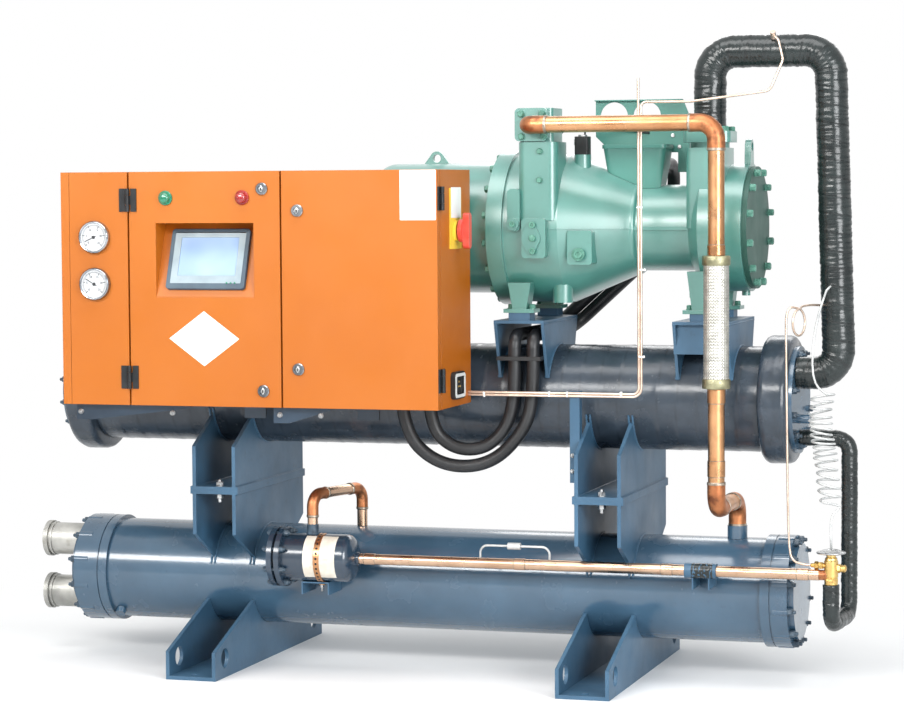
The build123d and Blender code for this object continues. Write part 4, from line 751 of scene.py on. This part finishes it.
bm = bmesh.new()
elbow(bm, (348, HOT_Y, 1447), (0, 1, 0), RIGHT, 30, 23)
elbow(bm, (HOSE_X, HOT_Y, 1447), LEFT, DOWN, 44, 23)
elbow(bm, (HOSE_X, HOT_Y, 472), UP, (3, -HOT_Y, 0), 44, 23)
elbow(bm, (845, 0, 472), (-3, HOT_Y, 0), DOWN, 44, 23)
socket(bm, Vector((HOSE_X, HOT_Y, 1114)), UP, 26, 22.8, 28, 2)
socket(bm, Vector((HOSE_X, HOT_Y, 742)), UP, 36, 22.8, 28, 2)
socket(bm, Vector((HOSE_X, HOT_Y, 556)), UP, 40, 22.6, 28, 2)
elbow(bm, (-257, LINE_Y, 477), (66, -LINE_Y, 0), DOWN, 34, 15.6, 24)
elbow(bm, (-191, 0, 477), (-66, LINE_Y, 0), DOWN, 34, 15.6, 24)
for x in (-112, 300, 690, 1040):
    socket(bm, Vector((x, LINE_Y, LINE_Z)), RIGHT, 30, 15.2, 24, 3)
piece("copper_joints", bm, [ELBOW, SOLDER, COPPER, PALE_COPPER], "chiller")

# Capillary coil and equalizer
def smooth_line(points, parts=4):
    """Even curve through the points."""
    pts = [Vector(p) for p in points]
    pts = [pts[0] * 2 - pts[1]] + pts + [pts[-1] * 2 - pts[-2]]
    out = [pts[1]]
    for a, b, c, d in zip(pts, pts[1:], pts[2:], pts[3:]):
        for i in range(1, parts + 1):
            t = i / parts
            out.append(0.5 * (2 * b + (c - a) * t + (2 * a - 5 * b + 4 * c - d) * t * t
                              + (3 * b - a - 3 * c + d) * t ** 3))
    return out


bm = bmesh.new()
line = [(1112, -78, 1034), (1096, -112, 1022), (1078, -168, 930), (1072, -181, 840), (1081, -186, 792),
        (1100, -196, 772)]
z, turns = 766.0, 16
for i in range(turns * 16):
    n = i / 16
    a = radians(-60) + tau * n
    pitch = 20 if n < 3 else 13.2 if n < 11 else 22.5
    lean = 7 * sin(n * 0.8)
    middle = 1100 - 7 * sin(pi * min(1.0, n / 8)) + 20 * max(0.0, (n - 7) / 9) ** 1.3
    r = 27.5 + 1.6 * sin(n * 1.9)
    line.append((middle + r * cos(a), -181 + 0.86 * r * sin(a), z + lean * cos(a) * 0.5))
    z -= pitch / 16
line += [(1146, -196, z - 6), (1130, -208, z - 24), (1125, LINE_Y, z - 52), (VALVE_X, LINE_Y, 376)]
tube(bm, smooth_line(line, 2), 2.9, 8)
piece("capillary_coil", bm, [TUBE], "chiller", 180, ("capillary_tubes",))
bm = bmesh.new()
line = [(x, LINE_Y, z) for x, z in (
    (1082, 334), (1054, 336), (1030, 346), (1020, 380), (1016, 500), (1014, 640), (1012, 800),
    (1011, 920))]
line += [(1012, -210, 962), (1021, -206, 982)]
for i in range(15):
    a = radians(80 - 25 * i)
    line.append((1036 + 12 * cos(a) + 0.5 * i, -190 + 30 * cos(a), 945 + 34 * sin(a)))
line += [(1046, -176, 984), (1060, -140, 986), (1080, -100, 984), (1086, -76, 984)]
tube(bm, smooth_line(line, 3), 2.9, 10)
piece("equalizer_tube", bm, [THIN_COPPER], "chiller", 180)

# Expansion valve
bm = bmesh.new()
lathe(bm, [(0, 14), (1, 17), (12, 17), (14, 15.5), (18, 15.5), (20, 17.6), (60, 17.6), (62, 16),
           (68, 15), (70, 12), (76, 12)], (VALVE_X, LINE_Y, 286), UP, 40)
lathe(bm, [(0, 14), (1, 17.8), (11, 17.8), (12, 14)], (VALVE_X, LINE_Y, 292), UP, 6, 0, 0.4)
lathe(bm, [(0, 13), (14, 13), (15, 15.4), (29, 15.4), (30, 14)], (1096, LINE_Y, LINE_Z), RIGHT, 32, 1)
lathe(bm, [(0, 6.5), (24, 6.5)], (1112, LINE_Y, 334), LEFT, 20)
lathe(bm, [(0, 8), (0.8, 9.4), (11, 9.4), (12, 8)], (1106, LINE_Y, 334), LEFT, 6, 0, 0.2)
lathe(bm, [(0, 9.6), (1, 10.6), (9, 10.6), (10, 9)], (1094, LINE_Y, 334), LEFT, 6, 0, 0.5)
lathe(bm, [(0, 6), (9, 5), (11, 4)], (1085, LINE_Y, 334), LEFT, 20)
lathe(bm, [(0, 8), (14, 8), (15, 9.4), (25, 9.4), (27, 7.4), (29, 4)], (1136, LINE_Y, 328), RIGHT, 24)
lathe(bm, [(0, 10), (0.8, 11.4), (8, 11.4), (9, 10)], (1141, LINE_Y, 328), RIGHT, 6, 0, 0.3)
piece("valve_body", bm, [BRASS, ELBOW], "chiller", replaces=("expansion_valve",))
bm = bmesh.new()
lathe(bm, [(0, 12), (1, 26), (3, 35.6), (4.4, 37), (6.4, 37), (7.6, 35.4), (9, 27), (12, 21), (14.6, 12),
           (15.6, 0)], (VALVE_X, LINE_Y, 362), UP, 56)
piece("valve_head", bm, [ZINC], "chiller")

# Bolts
def ring(count, radius, z, first=0.0):
    """(y, z) places on a bolt circle."""
    for i in range(count):
        a = radians(first + 360 * i / count)
        yield radius * cos(a), z + radius * sin(a)


bm = bmesh.new()
for y, z in ring(12, 136, COND_Z, 15):
    bolt(bm, (-984.6, y, z), LEFT, 17, 12, True, 8)
    bolt(bm, (1000.6, y, z), RIGHT, 17, 12, True, 8)
for y, z in ring(12, 122, EVAP_Z, 15):
    for side in (-1, 1):
        bolt(bm, (side * 1011.8, y, z), (side, 0, 0), 15, 9, True, 7)
piece("head_nuts", bm, [BOLT_BLUE], "chiller")

bm = bmesh.new()
for x in (-512, 539):
    for y in (-235, 235):
        bolt(bm, (x, y, 496), UP, 18, 10, True, 6)
        bolt(bm, (x, y, 476), DOWN, 18, 12, True, 10)
for x in (453.5, 472):
    for z in (596, 555):
        bolt(bm, (x, -201.7, z), FRONT, 9, 5, True, 2)
for x, z in ((-820, 707), (-560, 707), (-262, 707), (-150, 707)):
    bolt(bm, (x, -435, z), FRONT, 11, 6, True, 2)
piece("saddle_bolts", bm, [ZINC], "chiller")

# Welds
def weld(bm, a, b, r, seed):
    """Straight bead."""
    bead(bm, span(a, b, 3.2), r, seed)


def rim(bm, x, z, r, first, last, bead_r, seed):
    """Bead round a vessel where a plate stands on it, angles from straight down."""
    n = max(8, round(radians(last - first) * r / 3.4))
    line = []
    for i in range(n + 1):
        a = radians(first + (last - first) * i / n)
        line.append((x, r * sin(a), z - r * cos(a)))
    bead(bm, line, bead_r, seed)


bm = bmesh.new()
for k, x in enumerate(SADDLES_X):
    for n, face in enumerate((x - 61.5, x - 51.5, x + 51.5, x + 61.5)):
        seed = k * 7.0 + n * 1.7
        weld(bm, (face, -SADDLE_HALF, 496), (face, SADDLE_HALF, 496), 3.2, seed)
        weld(bm, (face, -SADDLE_HALF, 476), (face, SADDLE_HALF, 476), 3.2, seed + 0.8)
        rim(bm, face, EVAP_Z, EVAP_R + 0.5, -74, 74, 3.6, seed + 0.3)
        rim(bm, face, COND_Z, 137, 106, 254, 3.6, seed + 0.5)
for k, (x0, wide) in enumerate(PEDESTALS):
    for n, face in enumerate((x0, x0 + 8, x0 + wide - 8, x0 + wide)):
        rim(bm, face, EVAP_Z, EVAP_R + 0.5, 114, 246, 3.4, 20 + k * 5 + n)
        weld(bm, (face, -166, 934), (face, 166, 934), 2.6, 30 + k * 5 + n)
piece("weld_beads", bm, [STEELWORK], "chiller", 60)

bm = bmesh.new()
lathe(bm, [(-7, 121), (-3, 122), (2, 121.2), (6, 118), (9, 112.4), (9, 100), (-7, 100)],
      (590, 0, COMP_Z), RIGHT, 96)
piece("waist_fillet", bm, [GREEN], "chiller", 50)

# Drier details
bm = bmesh.new()
for y, z in ring(8, 71, LINE_Z, 22.5):
    at = Vector((0, y + LINE_Y, z))
    lathe(bm, [(-21, 4.2), (20, 4.2)], at + Vector((-344.5, 0, 0)), RIGHT, 14)
    bolt(bm, at + Vector((-361.6, 0, 0)), LEFT, 14, 9, True, 4)
    bolt(bm, at + Vector((-327.4, 0, 0)), RIGHT, 14, 9, True, 5)
for y, z in ring(6, 50, LINE_Z):
    bolt(bm, (-154, y + LINE_Y, z), RIGHT, 10, 6, False, 0)
lathe(bm, [(0, 13), (1, 17.4), (7, 17.4), (8, 15.8), (26, 15.8), (28, 14)], (-257, LINE_Y, 371), UP, 28)
piece("drier_bolts", bm, [BOLT_BLUE], "chiller")


def curved(bm, x0, x1, first, last, r0, r1, parts=40, ripple=0.0):
    """Closed strip that lies round the drier, angles from the front upwards."""
    rows = []
    for i in range(parts + 1):
        a = radians(first + (last - first) * i / parts)
        lift = ripple * wave(a * 5, 3, 0)
        rows.append([bm.verts.new((x, LINE_Y - r * cos(a), LINE_Z + r * sin(a)))
                     for x, r in ((x0, r0), (x1, r0), (x1, r1 + lift), (x0, r1 + lift))])
    for a, b in zip(rows, rows[1:]):
        for k in range(4):
            bm.faces.new([a[k], a[(k + 1) % 4], b[(k + 1) % 4], b[k]])
    bm.faces.new(rows[0])
    bm.faces.new(rows[-1])


bm = bmesh.new()
curved(bm, -265, -176, -48, 70, 62.6, 63.5)
piece("drier_label", bm, [CREAM], "chiller", 50)
bm = bmesh.new()
curved(bm, -235, -219, -88, 92, 63.2, 65.2, 60, 0.5)
slab(bm, (-235, -228, 239), (-219, -196, 241.4), 0.6)
for k in range(15):
    a = radians(-80 + 12 * k)
    way = Vector((0, -cos(a), sin(a)))
    lathe(bm, [(64.6, 3.2), (65.5, 3.2)], (-227, LINE_Y, LINE_Z), way, 16, 1)
bolt(bm, (-229, -222, 239), DOWN, 10, 6, True, 10, 2)
piece("drier_strap", bm, [COPPER, BLACK, ZINC], "chiller", 40)

# Tape at the pipe clamp, ties on the gauge tubes
def clamp_wrap(s, a):
    turn = (s / 15 + a / tau) % 1.0
    fold = wave(s * 0.2, cos(a) * 3, sin(a) * 3)
    end = min(1.0, min(s, 64 - s) / 5)
    # The second value is painted shade at the tape's seam.
    return 15.4 + 3.4 * max(0.15, end) + 0.8 * turn + 0.7 * fold, max(0.0, 0.8 - 9 * turn)


bm, painted_shade = folded_mesh()
tube(bm, span((766, LINE_Y, LINE_Z), (830, LINE_Y, LINE_Z), 1.6), 19, 48, 0, clamp_wrap, painted_shade)
piece("clamp_tape", bm, [CLOTH], "chiller", 180)
bm = bmesh.new()
for x, z in ((218, 748), (393, 751), (441, 751), (584, 753)):
    slab(bm, (x - 2.2, -209.6, z - 3.8), (x + 2.2, -200.6, z + 10.6), 1.6, 2)
    slab(bm, (x - 3, -211.6, z + 5), (x + 3, -208.6, z + 10), 0.8, 1)
for x, z in ((645, 854), (648, 1076), (640, 1235)):
    slab(bm, (x - 15, -209.6, z - 2.2), (x + 0.5, -200.6, z + 2.2), 1.6, 2)
    slab(bm, (x - 3, -211.6, z - 3), (x + 2, -208.6, z + 3), 0.8, 1)
piece("tube_ties", bm, [WHITE], "chiller")

bm = bmesh.new()
for i, (y, z) in enumerate(ring(16, 188, COMP_Z, 11.25)):
    bolt(bm, (222.3, y, z), LEFT, 18, 12, True, 0, 0, i)
for i, (y, z) in enumerate(ring(12, 146, COMP_Z, 15)):
    bolt(bm, (898.7, y, z), RIGHT, 17, 13, True, 0, 0, i)
for x, z in ((322, 1476), (378, 1476), (323, 1418), (382, 1419)):
    bolt(bm, (x, -207.8, z), FRONT, 15, 9)
for x, z in ((369, 1380), (368, 1306)):
    bolt(bm, (x, -199.8, z), FRONT, 13, 8)
for z in (1191, 1124):
    lathe(bm, [(0, 8.6), (6.4, 8.6), (7.4, 7.8), (7.4, 4.6), (4, 4)], (353, -216.8, z), FRONT, 24)
lathe(bm, [(0, 9), (6, 9), (8, 7), (9, 0)], (353, -216.8, 1157), FRONT, 24)
lathe(bm, [(0, 8), (7, 8), (8, 7), (8, 4), (5, 3.4)], (299, -214.8, 1193), FRONT, 24)
lathe(bm, [(0, 17), (4, 17), (5, 15.6)], (470, -198.6, 1115), FRONT, 32)
lathe(bm, [(4, 12.6), (10, 12.6), (11, 11), (11, 6), (8, 5)], (470, -198.6, 1115), FRONT, 6)
for x in (738, 832):
    for y in (-98, -14):
        bolt(bm, (x, y, 1428), UP, 18, 11)
for x, reach in ((302.5, 29), (783, 34)):
    for y in (-142, 142):
        for sx in (-1, 1):
            bolt(bm, (x + sx * reach, y, 972), UP, 15, 10)
for x, z in ((740, 1010), (786, 1010)):
    bolt(bm, (x, -60, z), DOWN, 15, 9)
piece("compressor_bolts", bm, [BOLT_GREEN], "chiller")

bm = bmesh.new()
lathe(bm, [(0, 17), (5, 17), (6, 16)], (447, -60, 1374), UP, 6)
lathe(bm, [(0, 12), (4, 12), (5, 10.6)], (447, -60, 1419), UP, 28)
for x, z in ((663, 1421), (681, 1391)):
    lathe(bm, [(0, 5.6), (2.4, 5.6), (3.4, 4.2)], (x, 50.6, z), FRONT, 20)
slab(bm, (426.6, -72, 1396), (429.4, -48, 1412), 1.0, 2)
piece("sensor_fittings", bm, [ZINC], "chiller")
for number, line in enumerate((
        [(453, -60, 1422), (455, -58, 1436), (470, -44, 1446), (510, -8, 1448), (556, 30, 1440),
         (600, 49, 1434)],
        [(386, -60, 1404), (384, -60, 1418), (392, -58, 1431), (407, -54, 1436), (440, -40, 1442),
         (505, 0, 1444), (560, 34, 1434), (600, 49, 1428)])):
    bm = bmesh.new()
    tube(bm, smooth_line(line, 8), 2.6, 12)
    piece(f"sensor_wire_{number}", bm, [PLASTIC], "chiller", 180)
bm = bmesh.new()
lathe(bm, [(-2, 11), (5, 11), (7, 9.6), (7.6, 0)], (1012, 112, 680), RIGHT, 28)
piece("cover_plug", bm, [GREY], "chiller")

# Gauges with plain dials
bm = bmesh.new()
for z in GAUGES_Z:
    at = (GAUGE_X, DOOR_Y, z)
    lathe(bm, [(-30, 28), (-29, 31), (-0.5, 31), (0, 43), (8, 43), (11.5, 42.2), (14, 39.5),
               (13.2, 37.2), (9, 36.4)], at, FRONT, 64)
piece("gauge_bodies", bm, [CHROME], "chiller", replaces=("pressure_gauges",))
bm = bmesh.new()
for z, reading in zip(GAUGES_Z, (205, 150)):
    at = Vector((GAUGE_X, DOOR_Y, z))
    lathe(bm, [(7, 36), (9.6, 36.2), (9.8, 0)], at, FRONT, 64)
    for i in range(51):
        a = radians(225 - 270 * i / 50)
        way = Vector((cos(a), 0, sin(a)))
        side = Vector((-sin(a), 0, cos(a)))
        long = i % 10 == 0
        r0, r1, w = (25.5 if long else 29.0), 33.0, (0.75 if long else 0.35)
        here = at + Vector((0, -9.9, 0))
        quad = [here + way * r0 - side * w, here + way * r1 - side * w,
                here + way * r1 + side * w, here + way * r0 + side * w]
        low = [bm.verts.new(p + Vector((0, 0.3, 0))) for p in quad]
        high = [bm.verts.new(p - Vector((0, 0.25, 0))) for p in quad]
        faces = [bm.faces.new(low), bm.faces.new(high[::-1])]
        faces += [bm.faces.new([low[j], low[(j + 1) % 4], high[(j + 1) % 4], high[j]]) for j in range(4)]
        for f in faces:
            f.material_index = 1
    a = radians(reading)
    way = Vector((cos(a), 0, sin(a)))
    here = at + Vector((0, -11.2, 0))
    tube(bm, span(here - way * 8, here + way * 27, 6), 0.9, 8, 1)
    lathe(bm, [(9.6, 4.2), (12, 4.2), (12.8, 3.2)], at, FRONT, 24, 1)
piece("gauge_dials", bm, [DIAL, INK], "chiller")
for z in GAUGES_Z:
    for i, text in enumerate(("0", "5", "10", "15", "20", "25")):
        a = radians(225 - 54 * i)
        font = bpy.data.curves.new(f"dial_number_{z}_{i}", "FONT")
        font.body = text
        font.size = 0.0078
        font.extrude = 0.0002
        font.align_x = "CENTER"
        font.align_y = "CENTER"
        made = bpy.data.objects.new("number", font)
        mesh = bpy.data.meshes.new_from_object(made)
        bpy.data.objects.remove(made)
        spot = Vector((GAUGE_X + 20.5 * cos(a), DOOR_Y - 10.1, z + 20.5 * sin(a)))
        turn = Matrix.Translation(spot * MM)
        mesh.transform(turn @ Matrix.Rotation(pi / 2, 4, "X"))
        mesh.materials.clear()
        mesh.materials.append(INK)
        ob = bpy.data.objects.new(f"dial_number_{z}_{i}", mesh)
        scene.collection.objects.link(ob)
        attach(ob, "chiller")

# Lamps, locks and touch panel
for name, node, x, mat, slot_name in (("green_lens", "green_lamp", -561, GREEN_LENS, "lamp_green"),
                                      ("red_lens", "red_lamp", -349, RED_LENS, "lamp_red")):
    bm = bmesh.new()
    at = (x, DOOR_Y, 1266)
    lathe(bm, [(0, 19), (4, 19), (6, 17.5), (6, 14)], at, FRONT, 48)
    lathe(bm, [(5, 14), (12, 13.4), (15.4, 11), (17.2, 7), (17.9, 0)], at, FRONT, 48)
    piece(name, bm, [mat], "hmi_door_body", replaces=(node,))


def lock(bm, x, z):
    at = Vector((x, DOOR_Y, z))
    lathe(bm, [(0, 16), (4.5, 16), (6.8, 14), (6.8, 9.6), (4, 9), (4, 0)], at, FRONT, 48)
    slab(bm, at + Vector((-2.6, -7.8, -8.5)), at + Vector((2.6, -3, 8.5)), 1.0, 2, 1)
    lathe(bm, [(3.5, 5.5), (7.4, 5.2), (7.8, 4)], at, FRONT, 24, 1)


for name, node, body, spots in (
    ("hmi_locks", "hmi_door_locks", "hmi_door_body", ((-295, 770), (-295, 1288))),
    ("power_locks", "power_door_locks", "power_door_body", ((-199, 827), (-199, 1232))),
):
    bm = bmesh.new()
    for x, z in spots:
        lock(bm, x, z)
    piece(name, bm, [CHROME, ZINC], body, replaces=(node,))

tilt = atan2(70, 192)
panel = Matrix.Translation((-454.5, -429, 1105)) @ Matrix.Rotation(-tilt, 4, "X")


def framed(bm, outer, hole, y0, y1, r_out, r_in, mat, place=panel):
    """Rounded frame with a rounded opening, in the plane that place sets."""
    a = round_rect(*outer, r_out)
    b = round_rect(*hole[:2], r_in, *hole[2:])
    crest = [(u * 0.993, v * 0.991) for u, v in a]
    rows = []
    for line, y in ((a, y0), (a, y1 + 1.2), (crest, y1), (b, y1), (b, y0)):
        rows.append([bm.verts.new(place @ Vector((u, y, v))) for u, v in line])
    for p, q in zip(rows, rows[1:] + rows[:1]):
        for i in range(len(p)):
            j = (i + 1) % len(p)
            bm.faces.new([p[i], p[j], q[j], q[i]]).material_index = mat


bm = bmesh.new()
framed(bm, (218, 164), (196, 140, 0, 3), -0.6, -12.3, 9, 3, 0)
framed(bm, (198, 142), (160, 104, 0, 6), -3, -11.6, 3, 2, 4)
slab(bm, (-89, -9.5, -51), (89, -5, 67), 0.8, 2, 2, panel)
for i in range(3):
    lathe(bm, [(11.5, 2.4), (13.2, 2.4), (13.8, 1.2)], panel @ Vector((60 + 11 * i, 0, -66)),
          panel.to_3x3() @ Vector(FRONT), 16, 3)
hmi_grey = Shader("panel_grey", 0.42)
hmi_grey.paint((50, 68, 82), (64, 84, 98), 14).shine(0.36, 0.5, 30).soften(0.001)
HMI_GREY = hmi_grey.grain(420, 0.0002).done()
bezel = Shader("panel_bezel", 0.4)
bezel.paint((132, 148, 156), (150, 165, 172), 14).shine(0.3, 0.42, 30).soften(0.001)
BEZEL = bezel.grain(420, 0.0001).done()
piece("touch_panel", bm, [HMI_GREY, PLASTIC, SCREEN, GREEN_LENS, BEZEL], "hmi_door_body",
      replaces=("hmi_panel",))

bm = bmesh.new()
place = Matrix.Translation((186, SIDE_Y, 782)) @ Matrix.Rotation(pi / 2, 4, "Z")
framed(bm, (84, 62), (68, 46, 0, 0), 0.5, -1.8, 9, 4, 0, place)
lathe(bm, [(-0.5, 22), (4.4, 22), (5.2, 21), (5.2, 19), (1.4, 18.4), (1.4, 0)],
      (180, SIDE_Y, 782), RIGHT, 40, 1)
for y, z in ((-8, -3), (8, -3), (0, 9)):
    lathe(bm, [(1, 2.6), (4, 2.6), (4.6, 1.8)], (180, SIDE_Y + y, 782 + z), RIGHT, 14, 2)
piece("socket_insert", bm, [GREY, PLASTIC, BRASS], "chiller")

# Bare plates on the doors and at the switch
bm = bmesh.new()
plate(bm, [(-97, 0), (0, -71), (97, 0), (0, 71)], (-458, DOOR_Y, 903), RIGHT, UP, 0.6)
piece("door_diamond", bm, [WHITE], "hmi_door_body")
bm = bmesh.new()
plate(bm, round_rect(95, 126, 2), (123.5, DOOR_Y, 1270), RIGHT, UP, 0.7)
piece("door_plate", bm, [WHITE], "power_door_body")
bm = bmesh.new()
plate(bm, round_rect(84, 78, 2), (177, SIDE_Y, 1250), (0, 1, 0), UP, 0.7)
piece("switch_label", bm, [WHITE], "chiller")

# Floor, backdrop and light
floor = bpy.data.meshes.new("floor")
floor.from_pydata([(-30, -30, 0), (30, -30, 0), (30, 30, 0), (-30, 30, 0)], [], [(0, 1, 2, 3)])
ground = Shader("floor_pale", 0.85)
ground.paint((238, 238, 238), (242, 242, 242), 2).grain(60, 0.0002).done()
far = ground.node("ShaderNodeSeparateXYZ")
ground.link(ground.where, far.inputs["Vector"])
wide = ground.math("MULTIPLY", far.outputs["X"], 0.62)
reach = ground.math("SQRT", ground.math("ADD", ground.math("MULTIPLY", wide, wide),
                                        ground.math("MULTIPLY", far.outputs["Y"], far.outputs["Y"])))
seen = ground.math("MULTIPLY", ground.grey(reach, 0.0, 1.0, 0.55, 1.5),
                   ground.node("ShaderNodeLightPath").outputs["Is Camera Ray"])
fade = ground.node("ShaderNodeMixShader")
bright = ground.node("ShaderNodeEmission")
bright.inputs["Strength"].default_value = 1.0
ground.link(seen, fade.inputs["Fac"])
ground.link(ground.bsdf.outputs[0], fade.inputs[1])
ground.link(bright.outputs[0], fade.inputs[2])
ground.link(fade.outputs[0], ground.tree.nodes["Material Output"].inputs["Surface"])
floor.materials.append(ground.mat)
floor_ob = bpy.data.objects.new("floor", floor)
scene.collection.objects.link(floor_ob)
floor_ob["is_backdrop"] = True

world = bpy.data.worlds.new("world")
scene.world = world
world.use_nodes = True
t = world.node_tree
t.nodes.clear()
out = t.nodes.new("ShaderNodeOutputWorld")
lit = t.nodes.new("ShaderNodeBackground")
lit.inputs["Color"].default_value = (0.93, 0.97, 1.0, 1)
lit.inputs["Strength"].default_value = 0.5
plain = t.nodes.new("ShaderNodeBackground")
plain.inputs["Color"].default_value = (1, 1, 1, 1)
plain.inputs["Strength"].default_value = 1.0
rays = t.nodes.new("ShaderNodeLightPath")
direct = rays.outputs["Is Camera Ray"]
for kind in ("Is Glossy Ray", "Is Transmission Ray"):
    either = t.nodes.new("ShaderNodeMath")
    either.operation = "MAXIMUM"
    t.links.new(direct, either.inputs[0])
    t.links.new(rays.outputs[kind], either.inputs[1])
    direct = either.outputs[0]
mix = t.nodes.new("ShaderNodeMixShader")
t.links.new(direct, mix.inputs["Fac"])
t.links.new(lit.outputs[0], mix.inputs[1])
t.links.new(plain.outputs[0], mix.inputs[2])
t.links.new(mix.outputs[0], out.inputs["Surface"])


def lamp(name, at, aim, size, power, tone=(1, 1, 1)):
    data = bpy.data.lights.new(name, "AREA")
    data.shape = "RECTANGLE"
    data.size, data.size_y = size
    data.energy = power
    data.color = tone
    ob = bpy.data.objects.new(name, data)
    scene.collection.objects.link(ob)
    ob.location = at
    ob.rotation_mode = "QUATERNION"
    ob.rotation_quaternion = (Vector(aim) - Vector(at)).to_track_quat("-Z", "Y")


lamp("overhead", (0.2, -1.4, 4.6), (0.1, 0, 0.8), (4.6, 1.8), 120)
lamp("strip", (-1.5, -5.6, 3.3), (-0.2, 0, 0.7), (5.4, 1.15), 310, (1, 0.99, 0.97))
lamp("fill", (5.0, -4.6, 2.2), (0.3, 0, 0.8), (2.8, 3.0), 330, (0.97, 0.985, 1))
lamp("back", (0.5, 4.6, 3.6), (0, 0, 0.9), (4.0, 1.4), 60)
scene.view_settings.view_transform = "Standard"

# The bounds of the shown objects, at the end
low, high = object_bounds()
